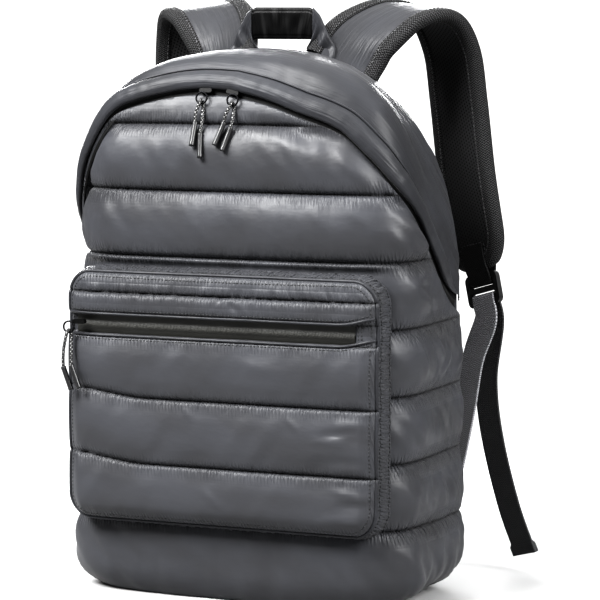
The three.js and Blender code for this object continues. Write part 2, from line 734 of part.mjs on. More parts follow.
// Each pull hangs from a place on its zip. Its ring, and where each of its
// two tubes starts and ends, are counted from that place.
function mainZipAt(degrees) {
  const turn = radians(degrees);
  return { turn, zip: hullPoint(turn, zipHeight(turn)) };
}
const pocketZipEnd = { zip: point(-pocketZipLeft, -pocketDepth, pocketZipHeight) };
const pulls = [
  { name: 'main_left', ...mainZipAt(-19.8), tilt: 0.2, ring: [-2.5, -7, -8.9],
    first: [[-5.6, -12.2, -27.9], [-5.8, -19.6, -47.4]], second: [[-0.5, -14.2, -36.9], [1.8, -20.3, -56.9]] },
  { name: 'main_right', ...mainZipAt(1.5), tilt: 0.2, ring: [0.2, -6.9, -8.9],
    first: [[-4.9, -11.7, -26.5], [-10.7, -19, -45.5]], second: [[1.2, -12.7, -30.5], [-3.6, -19.5, -49.5]] },
  { name: 'pocket', ...pocketZipEnd, tilt: 0, ring: [-2, -4.8, -4.6],
    first: [[-7, -5.5, -37], [1, -7, -55.5]], second: [[1, -7.3, -35], [8.5, -8.3, -53]] },
].map((pull) => {
  const fromZip = ([x, y, z]) => pull.zip.clone().add(point(x, y, z));
  return { ...pull, ring: fromZip(pull.ring), first: pull.first.map(fromZip), second: pull.second.map(fromZip) };
});

function tubePlaces(ends) {
  const start = ends[0];
  return { start, way: ends[1].clone().sub(start).normalize() };
}

// The cord hangs from its ring as a narrow loop, with a tube on each end.
function pullCord(pull) {
  const touch = (ringWire + cordDiameter) / 2 + clearance;
  const lean = pull.tilt + 0.4;
  const top = pull.ring.clone()
    .add(point(0, -Math.sin(pull.tilt), -Math.cos(pull.tilt)).multiplyScalar(ringRadius))
    .add(point(0, -Math.sin(lean), -Math.cos(lean)).multiplyScalar(touch));
  const leg = (ends) => {
    const { start, way } = tubePlaces(ends);
    return start.clone().addScaledVector(way, -2 * clearance);
  };
  const spread = cordDiameter * 0.65;
  const a = leg(pull.first);
  const b = leg(pull.second);
  const shoulder = (side) => top.clone().add(point(side * spread, -0.4, -cordDiameter));
  const path = [a, a.clone().lerp(shoulder(-1), 0.5), shoulder(-1), top, shoulder(1),
    b.clone().lerp(shoulder(1), 0.5), b];
  return cordGeometry(path, cordDiameter, 5, 27);
}

function pullTube(ends) {
  const { start, way } = tubePlaces(ends);
  const geometry = tubeGeometry(tubeLength);
  geometry.applyQuaternion(new THREE.Quaternion().setFromUnitVectors(point(0, 1, 0), way));
  geometry.translate(start.x, start.y, start.z);
  return geometry;
}

const bag = new THREE.Group();
const looseNodes = [];

function add(name, geometry, material) {
  const mesh = new THREE.Mesh(geometry, material);
  mesh.name = name;
  bag.add(mesh);
  return mesh;
}

add('quilted_shell', quiltedShell(), nylon);
add('top_gusset', topGusset(), smoothNylon);
add('back_panel', backPanel(), blackMesh);
add('zip_welt', zipWelt(), smoothNylon);
add('main_zip_tape', mainZipTape(), zipCloth);
add('pocket_shell', pocketShell(), nylon);
add('pocket_zip_tape', pocketZipTape(), zipCloth);
add('pocket_piping', pocketPiping(), nylon);
add('handle_grip', handleGripBand(), blackWeb);
for (const [word, side] of [['left', -1], ['right', 1]]) {
  add(`handle_end_${word}`, handleEnd(side), smoothNylon);
  add(`strap_pad_${word}`, strapPad(side), blackMesh);
  add(`strap_binding_${word}`, strapBinding(side), blackWeb);
  add(`strap_tab_${word}`, strapTab(side), blackWeb);
  add(`ladder_lock_${word}`, ladderLock(side), darkPlastic);
  add(`adjuster_web_${word}`, adjusterWeb(side), greyWeb);
  add(`web_anchor_${word}`, webAnchor(side), blackWeb);
}
for (const [word, pull] of [['left', pulls[0]], ['right', pulls[1]]]) {
  const { at, way, side } = zipFrame(pull.turn);
  const low = zipHalfWidth - sliderWidth / 2 - clearance * 4;
  const place = ontoHull(at.addScaledVector(side, -low), clearance - tapeSink);
  const normal = hullNormal(place);
  const along = way.addScaledVector(normal, -way.dot(normal)).normalize();
  const slider = add(`main_slider_${word}`, sliderGeometry(), darkMetal);
  const inward = normal.clone().negate();
  const basis = new THREE.Matrix4().makeBasis(along, inward, along.clone().cross(inward));
  slider.quaternion.setFromRotationMatrix(basis);
  slider.position.copy(place);
}
const pocketSlider = add('pocket_slider', sliderGeometry(), darkMetal);
pocketSlider.position.set(
  -pocketZipLeft + sliderLength / 2 + 1,
  -pocketDepth + pocketWall / 2 - tapeThickness / 2 - clearance,
  pocketZipHeight,
);
for (const pull of pulls) {
  const ring = add(`${pull.name}_ring`, ringGeometry(), darkMetal);
  ring.rotation.x = Math.PI / 2 - pull.tilt;
  ring.position.copy(pull.ring);
  looseNodes.push(
    add(`${pull.name}_cord`, pullCord(pull), blackWeb),
    add(`${pull.name}_cord_end_a`, pullTube(pull.first), darkPlastic),
    add(`${pull.name}_cord_end_b`, pullTube(pull.second), darkPlastic),
  );
}

// The origin lies under the middle of the bag without its loose pulls.
const firmBox = new THREE.Box3();
const firmNodes = bag.children.filter((mesh) => !looseNodes.includes(mesh));
firmNodes.forEach((mesh) => firmBox.expandByObject(mesh, true));
const middle = firmBox.getCenter(new THREE.Vector3());
bag.position.set(-middle.x, -middle.y, -firmBox.min.z);

export default bag;
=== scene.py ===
# %% [markdown]
# Quilted puffer backpack.
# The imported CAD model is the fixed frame. It says where each solid is, and this script gives
# each one its real surface: swollen quilting, a soft flap, webbing, braided cord.
# All lengths below are millimetres in the CAD source's own frame; one helper turns them
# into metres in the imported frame.

# %% Load the frame and keep its box
import math

import bpy
import numpy as np
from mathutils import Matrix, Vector


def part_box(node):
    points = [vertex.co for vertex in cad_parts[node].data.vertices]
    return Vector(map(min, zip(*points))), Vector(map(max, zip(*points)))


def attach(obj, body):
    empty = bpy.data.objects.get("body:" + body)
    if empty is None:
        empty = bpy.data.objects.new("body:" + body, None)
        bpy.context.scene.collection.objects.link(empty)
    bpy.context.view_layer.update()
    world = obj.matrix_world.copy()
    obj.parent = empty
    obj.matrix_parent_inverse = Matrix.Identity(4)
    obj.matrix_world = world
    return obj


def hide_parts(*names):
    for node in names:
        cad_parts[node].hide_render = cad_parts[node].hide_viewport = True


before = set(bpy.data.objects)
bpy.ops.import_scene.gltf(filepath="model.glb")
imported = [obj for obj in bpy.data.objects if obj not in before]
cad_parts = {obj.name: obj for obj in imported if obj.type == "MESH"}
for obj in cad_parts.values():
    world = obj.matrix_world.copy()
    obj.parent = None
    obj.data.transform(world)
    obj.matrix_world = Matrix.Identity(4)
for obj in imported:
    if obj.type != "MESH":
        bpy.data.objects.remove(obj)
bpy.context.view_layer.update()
MM = 0.001

# %% [markdown]
# The bag's shape comes from a few driving sizes, the same as in the CAD source.
# The source centres the bag on its box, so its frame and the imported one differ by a
# shift along Y, which the back panel's outer face gives away.

# %% Driving sizes and the shift between the two frames
BODY_WIDTH = 296.0
BODY_HEIGHT = 439.0
FRONT_DEPTH = 78.0
PANEL_DEPTH = 67.0
PANEL_THICKNESS = 10.0
BASE_ROUND = 38.0
BELOW_FLOOR = 10.0
QUILT_PITCH = 53.2
FIRST_QUILT_LINE = 63.0
PUFF = 6.0
SECTION_SQUARE = 5.0
ZIP_HALF_WIDTH = 7.0
ZIP_END_TURN = 116.0
SHIFT = np.array([0.0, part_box("back_panel")[1].y / MM - PANEL_DEPTH - PANEL_THICKNESS, 0.0])
SIDES = (("left", -1), ("right", 1))


def to_frame(points):
    """Millimetres in the source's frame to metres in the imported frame."""
    return (np.asarray(points, float) + SHIFT) * MM


print("shift along Y", round(float(SHIFT[1]), 2), "mm")

# %% [markdown]
# The camera stands where the photographer stood: to the bag's left front, a little above
# its middle, far enough away that the sides hardly converge. It is made before the cords.

# %% Camera
PICTURE = 600
AIM = np.array([0.0, 0.0, 225.0])
AZIMUTH = math.radians(23.5)
ELEVATION = math.radians(6.2)
CAMERA_DISTANCE = 2400.0
FOCAL_PIXELS = 2928.0
AIM_PIXEL = (266.0, 313.0)
toward_camera = np.array([math.sin(AZIMUTH) * math.cos(ELEVATION),
                          -math.cos(AZIMUTH) * math.cos(ELEVATION),
                          math.sin(ELEVATION)])
camera_data = bpy.data.cameras.new("studio_camera")
camera_data.sensor_width = 36.0
camera_data.lens = FOCAL_PIXELS / PICTURE * camera_data.sensor_width
camera_data.shift_x = (PICTURE / 2 - AIM_PIXEL[0]) / PICTURE
camera_data.shift_y = (AIM_PIXEL[1] - PICTURE / 2) / PICTURE
camera_data.clip_end = 50.0
camera = bpy.data.objects.new("studio_camera", camera_data)
bpy.context.scene.collection.objects.link(camera)
camera.location = Vector(to_frame(AIM + toward_camera * CAMERA_DISTANCE))
camera.rotation_mode = "QUATERNION"
camera.rotation_quaternion = Vector(-toward_camera).to_track_quat("-Z", "Y")
bpy.context.scene.camera = camera
print("camera at", [round(v, 3) for v in camera.location], "lens", round(camera_data.lens, 1))

# %% [markdown]
# A material is a small node tree. Writing its maths as Python expressions keeps it
# readable, so a wrapper class stands for one socket: adding or multiplying two of them
# adds the Math node that does it. Every other node comes from one method, `node`.

# %% A socket that does arithmetic
class Socket:
    """One output of a shader node, with the arithmetic of Math nodes."""

    def __init__(self, tree, socket):
        self.tree = tree
        self.socket = socket

    def node(self, kind, settings=None, output=0, **inputs):
        """Adds a node, sets its settings, fills its sockets, and gives one output."""
        made = self.tree.nodes.new(kind)
        for key, value in (settings or {}).items():
            setattr(made, key, value)
        for key, value in inputs.items():
            name = key.replace("_", " ")
            target = made.inputs[int(key[1:])] if key[1:].isdigit() else made.inputs[name]
            self.fill(target, value)
        return Socket(self.tree, made.outputs[output])

    def fill(self, target, value):
        if isinstance(value, Socket):
            self.tree.links.new(value.socket, target)
        elif hasattr(target.default_value, "__len__") and len(target.default_value) == 4:
            target.default_value = (*value[:3], 1.0)
        else:
            target.default_value = value

    def math(self, operation, *values):
        inputs = {f"i{i}": value for i, value in enumerate(values)}
        return self.node("ShaderNodeMath", {"operation": operation}, **inputs)

    def __add__(self, other):
        return self.math("ADD", self, other)

    def __radd__(self, other):
        return self.math("ADD", other, self)

    def __sub__(self, other):
        return self.math("SUBTRACT", self, other)

    def __rsub__(self, other):
        return self.math("SUBTRACT", other, self)

    def __mul__(self, other):
        return self.math("MULTIPLY", self, other)

    def __rmul__(self, other):
        return self.math("MULTIPLY", other, self)

    def __truediv__(self, other):
        return self.math("DIVIDE", self, other)

    def above(self, low, high):
        """0 below low, 1 above high, and a soft rise between."""
        return self.node("ShaderNodeMapRange", {"interpolation_type": "SMOOTHSTEP"},
                         i0=self, i1=low, i2=high, i3=0.0, i4=1.0)

    def mix(self, first, second):
        """The first colour where this is 0, the second where it is 1."""
        return self.node("ShaderNodeMix", {"data_type": "RGBA"}, output=2,
                         i0=self, i6=first, i7=second)


print("shader helper ready")

# %% [markdown]
# The hull is one swollen arch: flat sections whose corners are rounded by a superellipse.
# It is the same formula as in the CAD source, here with numpy arrays, so that a hundred
# thousand points can be laid on it in a moment.

# %% The hull's formula
DEPTH_PLACES = [0.0, 0.2, 0.5, 0.75, 1.0]
FRONT_SHARES = [0.95, 1.0, 1.0, 0.963, 0.864]
PANEL_SHARES = [0.97, 1.0, 1.0, 0.83, 0.486]
BEHIND_SHARES = [1.44, 1.47, 1.47, 1.26, 0.886]
ARCH_PLACES = [0.0, 0.5, 1.0]
SPRING_SHARES = [0.66, 0.58, 0.56]
SQUARE_POWERS = [3.3, 2.5, 2.25]


def between(places, values, at):
    """A smooth value between table rows, with slopes taken from the rows themselves."""
    places = np.asarray(places, float)
    values = np.asarray(values, float)
    last = len(places) - 1
    at = np.clip(at, places[0], places[-1])
    i = np.clip(np.searchsorted(places, at, side="left") - 1, 0, last - 1)
    before = np.maximum(np.arange(last + 1) - 1, 0)
    after = np.minimum(np.arange(last + 1) + 1, last)
    slopes = (values[after] - values[before]) / (places[after] - places[before])
    step = places[i + 1] - places[i]
    t = (at - places[i]) / step
    bend = t * t * (3 - 2 * t)
    leave = slopes[i] * step * t * (1 - t) ** 2
    arrive = slopes[i + 1] * step * t * t * (t - 1)
    return values[i] * (1 - bend) + values[i + 1] * bend + leave + arrive


def front_plane(z):
    return -FRONT_DEPTH * between(DEPTH_PLACES, FRONT_SHARES, z / BODY_HEIGHT)


def panel_plane(z):
    return PANEL_DEPTH * between(DEPTH_PLACES, PANEL_SHARES, z / BODY_HEIGHT)


def behind_plane(z):
    return PANEL_DEPTH * between(DEPTH_PLACES, BEHIND_SHARES, z / BODY_HEIGHT)


def hull_value(p):
    """1 on the hull's surface and less inside it, for an array of points."""
    x, y, z = p[..., 0], p[..., 1], p[..., 2]
    front = front_plane(z)
    behind = behind_plane(z)
    along = np.clip((y - front) / (behind - front), 0, 1)
    square = between(ARCH_PLACES, SQUARE_POWERS, along)
    spring = between(ARCH_PLACES, SPRING_SHARES, along) * BODY_HEIGHT
    up = np.maximum(0, z - spring) / (BODY_HEIGHT - spring)
    down = np.maximum(0, BASE_ROUND - z) / (BASE_ROUND + BELOW_FLOOR)
    across = np.abs(x) / (BODY_WIDTH / 2)
    arch = (across ** square + up ** square + down ** square) ** (1 / square)
    deep = np.abs(y - (front + behind) / 2) / ((behind - front) / 2)
    return (arch ** SECTION_SQUARE + deep ** SECTION_SQUARE) ** (1 / SECTION_SQUARE)


def unit(v):
    """Vectors of length 1."""
    return v / np.maximum(np.linalg.norm(v, axis=-1, keepdims=True), 1e-9)


def hull_normal(p, step=0.3):
    offsets = np.eye(3) * step
    return unit(np.stack([hull_value(p + o) - hull_value(p - o) for o in offsets], axis=-1))


def halve(low, high, steps, is_before):
    """Closes in by halving on the place where is_before stops being true."""
    for _ in range(steps):
        middle = (low + high) / 2
        before = is_before(middle)
        low = np.where(before, middle, low)
        high = np.where(before, high, middle)
    return low


def hull_point(turn, z):
    """The hull at a height and a turn counted from the front."""
    turn, z = np.broadcast_arrays(np.asarray(turn, float), np.asarray(z, float))
    way = np.stack([np.sin(turn), -np.cos(turn), np.zeros_like(turn)], axis=-1)
    height = np.stack([np.zeros_like(z), np.zeros_like(z), z], axis=-1)
    reach = halve(np.zeros_like(turn), np.full_like(turn, BODY_WIDTH), 26,
                  lambda far: hull_value(way * far[..., None] + height) < 1)
    return way * reach[..., None] + height


def panel_outline(angle, middle, furthest, steps):
    """The hull's edge in the back panel's plane, at angles from straight up round a middle."""
    def place(reach):
        z = middle + reach * np.cos(angle)
        return np.stack([reach * np.sin(angle), panel_plane(z), z], axis=-1)

    start = np.zeros_like(angle)
    return place(halve(start, start + furthest, steps, lambda reach: hull_value(place(reach)) < 1))


def onto_hull(p, out=0.0):
    """Slides points that lie near the hull onto it, then outward along its normal."""
    q = np.array(p, float)
    for _ in range(5):
        normal = hull_normal(q)
        here = hull_value(q)
        ahead = hull_value(q + normal)
        q = q + normal * ((1 - here) / (ahead - here))[..., None]
    return q + hull_normal(q) * np.asarray(out, float)[..., None]


print("hull depth at the base", round(float(panel_plane(0.0) - front_plane(0.0)), 1), "mm")

# %% [markdown]
# The main zip climbs from the lower sides over the front in an arch. Its height is a table
# over the turn, and differs a little from left to right because the bag leans.

# %% The zip's line
ZIP_TURNS = [0, 24, 40, 54, 61, 66, 72, 84, 101, 116]
ZIP_LEFT = [0.936, 0.938, 0.932, 0.914, 0.888, 0.818, 0.72, 0.645, 0.56, 0.52]
ZIP_RIGHT = [0.936, 0.921, 0.9, 0.87, 0.82, 0.777, 0.735, 0.658, 0.563, 0.52]


def zip_height(turn):
    degrees = np.abs(np.degrees(turn))
    left = between(ZIP_TURNS, ZIP_LEFT, degrees)
    right = between(ZIP_TURNS, ZIP_RIGHT, degrees)
    return BODY_HEIGHT * np.where(np.asarray(turn) < 0, left, right)


def zip_frames(turn):
    """Points on the zip's line, its way round the bag, the hull's normal and the way up."""
    small = 0.02
    at = hull_point(turn, zip_height(turn))
    ahead = hull_point(turn + small, zip_height(turn + small))
    back = hull_point(turn - small, zip_height(turn - small))
    way = unit(ahead - back)
    normal = hull_normal(at)
    return at, way, normal, unit(np.cross(normal, way))


def seam_turn(z):
    """The turn at which the hull meets the back panel's plane, at each height."""
    plane = panel_plane(z)
    return halve(np.full_like(z, math.radians(80.0)), np.full_like(z, math.radians(150.0)), 16,
                 lambda turn: hull_point(turn, z)[..., 1] < plane)


print("back seam at", round(math.degrees(float(seam_turn(np.array([200.0]))[0])), 1), "degrees")

# %% [markdown]
# Cloth is never quite even. Smooth random values between the points of a lattice give
# folds of any length and width, and a fixed seed makes them come out the same each time.

# %% Even randomness
LATTICE = np.random.default_rng(41).random((256, 256))


def soft_noise(x, y, seed=0):
    """Smooth values from 0 to 1; one lattice cell is one unit of x and of y."""
    x = np.asarray(x, float) + seed * 17.31
    y = np.asarray(y, float) + seed * 7.77
    x, y = np.broadcast_arrays(x, y)
    ix = np.floor(x).astype(int)
    iy = np.floor(y).astype(int)
    fx = x - ix
    fy = y - iy
    fx = fx * fx * (3 - 2 * fx)
    fy = fy * fy * (3 - 2 * fy)
    a = LATTICE[ix % 256, iy % 256]
    b = LATTICE[(ix + 1) % 256, iy % 256]
    c = LATTICE[ix % 256, (iy + 1) % 256]
    d = LATTICE[(ix + 1) % 256, (iy + 1) % 256]
    return (a * (1 - fx) + b * fx) * (1 - fy) + (c * (1 - fx) + d * fx) * fy


def rise(value, low, high):
    """0 below low, 1 above high, smooth between."""
    t = np.clip((np.asarray(value, float) - low) / (high - low), 0, 1)
    return t * t * (3 - 2 * t)


print("noise average", round(float(soft_noise(np.arange(500) * 0.37, 0.5).mean()), 2))

# %% [markdown]
# Most pieces are sheets or tubes: rows and columns of points with four-sided faces
# between them. One helper makes such a mesh, joins points that meet, and keeps two
# things for the materials: a map of the cloth in millimetres, and any painted values.

# %% A mesh from rows of points
def grid_quads(rows, columns, round_columns=False, round_rows=False):
    """Faces between rows and columns of points, as point numbers."""
    r = np.arange(rows if round_rows else rows - 1)
    c = np.arange(columns if round_columns else columns - 1)
    r, c = [a.ravel() for a in np.meshgrid(r, c, indexing="ij")]
    r2 = (r + 1) % rows
    c2 = (c + 1) % columns
    return np.stack([r * columns + c, r * columns + c2, r2 * columns + c2, r2 * columns + c], 1)


SAME_POINT = 0.02


def build_piece(name, points, faces, cloth=None, painted=None):
    """A mesh object from points in millimetres and four-sided faces. cloth gives each point
    its place on the cloth; painted gives each point named values for the material."""
    points = np.asarray(points, float).reshape(-1, 3)
    keys = np.round(points / SAME_POINT).astype(np.int64)
    _, first, same = np.unique(keys, axis=0, return_index=True, return_inverse=True)
    same = same.ravel()
    joined = same[faces]
    opposite = (joined[:, 0] == joined[:, 2]) | (joined[:, 1] == joined[:, 3])
    repeats = joined == np.roll(joined, -1, axis=1)
    keep = ~opposite & (repeats.sum(1) <= 1)
    joined = joined[keep]
    corners = np.arange(faces.size).reshape(faces.shape)[keep]
    repeats = repeats[keep]
    loops = joined[~repeats]
    corner_of_loop = corners[~repeats]
    totals = (~repeats).sum(1)
    used, loops = np.unique(loops, return_inverse=True)
    loops = loops.ravel()
    mesh = bpy.data.meshes.new(name)
    mesh.vertices.add(len(used))
    mesh.vertices.foreach_set("co", to_frame(points[first[used]]).astype(np.float32).ravel())
    mesh.loops.add(len(loops))
    mesh.loops.foreach_set("vertex_index", loops.astype(np.int32))
    mesh.polygons.add(len(totals))
    starts = np.concatenate([[0], np.cumsum(totals)[:-1]])
    mesh.polygons.foreach_set("loop_start", starts.astype(np.int32))
    mesh.polygons.foreach_set("loop_total", totals.astype(np.int32))
    mesh.polygons.foreach_set("use_smooth", np.full(len(totals), True))
    mesh.update(calc_edges=True)
    if cloth is not None:
        places = np.asarray(cloth, float).reshape(-1, 2)[faces.ravel()[corner_of_loop]]
        layer = mesh.uv_layers.new(name="cloth")
        layer.uv.foreach_set("vector", places.astype(np.float32).ravel())
    for key, values in (painted or {}).items():
        attribute = mesh.attributes.new(key, "FLOAT", "POINT")
        data = np.asarray(values, float).ravel()[first[used]]
        attribute.data.foreach_set("value", data.astype(np.float32))
    mesh.validate()
    piece = bpy.data.objects.new(name, mesh)
    bpy.context.scene.collection.objects.link(piece)
    return piece


def triangles(piece):
    return sum(len(p.vertices) - 2 for p in piece.data.polygons)


def hand_over(piece, material, slot, *nodes, padded=None):
    """Gives a piece its finish, its body and the CAD nodes that it stands for."""
    piece.data.materials.append(material)
    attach(piece, "root")
    if nodes:
        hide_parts(*nodes)
    print(f"{piece.name}: {triangles(piece) if piece.type == 'MESH' else 0} triangles")
    return piece


print("mesh helpers ready")

# %% [markdown]
# Every finish starts from one Principled shader. What changes over the surface, such as a
# weave or a stitch, goes into its colour, its roughness and a bump; what is the same all
# over is set on the shader's own socket.

# %% Making a finish
def new_finish(name, paint, **fixed):
    """A material. paint gets a starting socket and gives colour, roughness and a bump height
    in millimetres; any of them may be missing."""
    material = bpy.data.materials.new(name)
    material.use_nodes = True
    tree = material.node_tree
    tree.nodes.clear()
    out = tree.nodes.new("ShaderNodeOutputMaterial")
    shader = tree.nodes.new("ShaderNodeBsdfPrincipled")
    tree.links.new(shader.outputs[0], out.inputs[0])
    start = Socket(tree, None)
    for key, value in fixed.items():
        start.fill(shader.inputs[key.replace("_", " ")], value)
    made = paint(start)
    if "colour" in made:
        start.fill(shader.inputs["Base Color"], made["colour"])
    if "roughness" in made:
        start.fill(shader.inputs["Roughness"], made["roughness"])
    if "height" in made:
        bump = start.node("ShaderNodeBump", Distance=MM, Height=made["height"])
        start.fill(shader.inputs["Normal"], bump)
    return material


def cloth_place(start):
    """The place on the cloth in millimetres, along and across."""
    place = start.node("ShaderNodeUVMap", {"uv_map": "cloth"})
    parts = place.node("ShaderNodeSeparateXYZ", i0=place)
    return parts, Socket(parts.tree, parts.socket.node.outputs[1])


def painted_value(start, name):
    return start.node("ShaderNodeAttribute", {"attribute_name": name}, output=2)


def stretched_noise(along, across, length, width, detail=2.0, roughness=0.5, seed=0.0):
    """Noise whose marks are that long and wide, in millimetres."""
    place = along.node("ShaderNodeCombineXYZ", i0=along / length, i1=across / width, i2=seed)
    return along.node("ShaderNodeTexNoise", {"noise_dimensions": "3D"},
                      Vector=place, Scale=1.0, Detail=detail, Roughness=roughness)


def ripple(value, pitch, phase=0.0):
    """A wave from 0 to 1 with that pitch."""
    return value.math("SINE", value * (math.tau / pitch) + phase) * 0.5 + 0.5


def dashes(along, pitch, share):
    """1 on stitches of a seam that runs along, 0 between them."""
    return (ripple(along, pitch) - (1 - share)).above(-0.08, 0.08)


print("finish helper ready")

# %% [markdown]
# Down-proof nylon is a tight plain weave, calendered until it shines like satin. Close to a
# quilt seam it is gathered into fine folds that run straight away from the stitches. The
# mesh carries the larger folds; the bump adds those too fine for it, strongest at the seam,
# where the painted value `pinch` is 1.

# %% Nylon finishes
def nylon_paint(shade, gathers, weave=0.012, long_folds=0.0):
    def paint(start):
        along, across = cloth_place(start)
        pinch = painted_value(start, "pinch")
        ruck = painted_value(start, "ruck")
        fine = stretched_noise(along, across, 1.7, 16.0, detail=3.0, seed=1.3)
        finer = stretched_noise(along, across, 0.9, 9.0, detail=2.0, seed=4.1)
        lazy = stretched_noise(along, across, 26.0, 15.0, detail=3.0, roughness=0.55, seed=2.2)
        threads = ripple(along, 0.62) * ripple(across, 0.62)
        cloud = stretched_noise(along, across, 60.0, 38.0, detail=2.0, seed=7.0)
        groove = pinch.above(0.9, 1.0)
        gather = ripple(along + fine * 3.2 + across * 0.25, 2.9)
        gathered = fine * gathers + finer * (gathers * 0.4) + gather * gather * (gathers * 0.2)
        height = ruck * gathered + lazy * 0.5 + threads * weave
        if long_folds:
            height = height + stretched_noise(along, across, 75.0, 4.2, detail=3.0, seed=5.5) * long_folds
        # The broad cloud patches vary the grey at random and are also painted reflection: lighter, bluish
        # patches for the satin's broad highlights, dimmer ones between.
        painted_dim_patch = [v * 0.9 for v in shade]
        painted_sheen_patch = [v * c for v, c in zip(shade, (1.06, 1.075, 1.1))]
        colour = cloud.above(0.35, 0.65).mix(painted_dim_patch, painted_sheen_patch)
        # At the seam groove the colour goes towards the shadow grey: the dashes are the dark thread, and
        # the steady darkening between them is painted shade in the groove.
        shadow = [v * 0.25 for v in shade]
        thread_and_groove_shade = groove * (dashes(along, 3.0, 0.62) * 0.55 + 0.4)
        colour = thread_and_groove_shade.mix(colour, shadow)
        return {"colour": colour, "roughness": 0.39 + cloud * 0.1 + groove * 0.2, "height": height}
    return paint


NYLON_GREY = (0.0325, 0.033, 0.0361)
# SHADED_GREY is the quilted nylon's grey made darker, as painted shade for the smooth pieces, such as the
# gusset, that face up into the lamps.
SHADED_GREY = (0.0235, 0.0239, 0.0262)
quilted_nylon = new_finish("quilted_nylon", nylon_paint(NYLON_GREY, 4.2), Specular_IOR_Level=0.26,
                           Sheen_Weight=0.05, Sheen_Roughness=0.4)
smooth_nylon = new_finish("smooth_nylon", nylon_paint(SHADED_GREY, 1.6, long_folds=1.1),
                          Specular_IOR_Level=0.15, Sheen_Weight=0.05, Sheen_Roughness=0.4)
print("nylon finishes:", quilted_nylon.name, smooth_nylon.name)

# %% [markdown]
# Thread is a finish of its own, because stitches are small solid beads of yarn that catch
# the light. Webbing is woven in ribs across its length; the strap's mesh has rows of holes
# with a black foam under it; the binding is a stretchy knit with lighter yarns in it.

# %% Webbing, mesh and thread finishes
def webbing_paint(dark, light, rib, fleck, shaded_dark=None, shaded_light=None):
    def paint(start):
        along, across = cloth_place(start)
        offset = along + ripple(across, 2.6) * (rib * 0.5)
        ribs = ripple(offset, rib)
        strands = ripple(across, 1.3)
        mottle = stretched_noise(along, across, 1.1, 1.1, detail=2.0, seed=3.0)
        tone = ribs * 0.55 + strands * 0.2 + mottle * fleck
        colour = tone.above(0.25, 1.15).mix(dark, light)
        # The painted value outer picks between two pairs of colours for one webbing: the lighter pair is
        # painted light, the darker pair painted shade.
        if shaded_dark:
            inner = tone.above(0.25, 1.15).mix(shaded_dark, shaded_light)
            colour = painted_value(start, "outer").mix(inner, colour)
        return {"colour": colour, "roughness": 0.55 + mottle * 0.25,
                "height": ribs * 0.28 + strands * 0.12 + mottle * 0.2}
    return paint


BLACK_YARN = ((0.0012, 0.0012, 0.0013), (0.006, 0.0061, 0.0066))
# The grey webbing has two pairs of colours: the lighter pair is painted light on the run below the lock,
# the darker pair painted shade on the tail past it.
LIT_WEB_YARN = ((0.06, 0.06, 0.064), (0.3, 0.3, 0.315))
SHADED_WEB_YARN = ((0.008, 0.008, 0.0085), (0.042, 0.0425, 0.044))
black_webbing = new_finish("black_webbing", webbing_paint(*BLACK_YARN, 1.9, 0.35),
                           Sheen_Weight=0.03, Specular_IOR_Level=0.2)
grey_webbing = new_finish("grey_webbing", webbing_paint(*LIT_WEB_YARN, 1.7, 0.75, *SHADED_WEB_YARN),
                          Sheen_Weight=0.05, Specular_IOR_Level=0.25)


def mesh_paint(start):
    along, across = cloth_place(start)
    slant = along + across * 0.62
    cross = across - along * 0.18
    rows = ripple(slant, 3.3)
    cells = ripple(cross, 2.7)
    holes = (rows * cells).above(0.28, 0.62)
    mottle = stretched_noise(along, across, 0.8, 0.8, detail=2.0, seed=5.0)
    colour = holes.mix((0.019, 0.019, 0.0195), (0.0016, 0.0016, 0.0018))
    colour = (mottle.above(0.58, 0.72) * (1 - holes) * 0.5).mix(colour, (0.035, 0.035, 0.036))
    return {"colour": colour, "roughness": 0.72 + holes * 0.2, "height": (1 - holes) * 0.7 + mottle * 0.15}


def binding_paint(start):
    along, across = cloth_place(start)
    knit = ripple(along + ripple(across, 3.4) * 1.5, 2.1)
    columns = ripple(across, 1.35)
    mottle = stretched_noise(along, across, 0.7, 1.2, detail=3.0, seed=6.0)
    flecks = (knit * 0.6 + mottle * 0.8 + columns * 0.15).above(0.84, 1.0)
    colour = flecks.mix((0.0008, 0.0008, 0.0009), (0.05, 0.05, 0.051))
    return {"colour": colour, "roughness": 0.75, "height": knit * 0.3 + columns * 0.2 + flecks * 0.2}


def satin_paint(start):
    along, across = cloth_place(start)
    streak = stretched_noise(along, across, 9.0, 60.0, detail=3.0, seed=12.0)
    fine = stretched_noise(along, across, 1.2, 30.0, detail=2.0, seed=13.0)
    # The lighter streaks in the grip's colour are a painted highlight, standing for the satin's vertical
    # shine.
    return {"colour": streak.above(0.5, 0.75).mix((0.0006, 0.0006, 0.0007), (0.011, 0.011, 0.0112)),
            "roughness": 0.34 + fine * 0.2, "height": fine * 0.25 + streak * 0.4}


black_satin = new_finish("black_satin", satin_paint, Specular_IOR_Level=0.14)
air_mesh = new_finish("air_mesh", mesh_paint, Specular_IOR_Level=0.2)
binding_knit = new_finish("binding_knit", binding_paint, Specular_IOR_Level=0.2)


def object_noise(start, scale, detail=2.0):
    """Noise in the object's own coordinates, for pieces that have no map of the cloth."""
    place = start.node("ShaderNodeTexCoord", output=3)
    return start.node("ShaderNodeTexNoise", Vector=place, Scale=scale, Detail=detail)


def thread_paint(dark, light):
    def paint(start):
        twist = object_noise(start, 900.0)
        return {"colour": twist.above(0.4, 0.7).mix(dark, light), "roughness": 0.6, "height": twist * 0.15}
    return paint


seam_thread = new_finish("seam_thread", thread_paint((0.006, 0.0062, 0.0066), (0.03, 0.031, 0.033)),
                         Specular_IOR_Level=0.4)
binding_thread = new_finish("binding_thread", thread_paint((0.03, 0.03, 0.031), (0.12, 0.12, 0.123)),
                            Specular_IOR_Level=0.3)
print("cloth finishes:", len(bpy.data.materials))

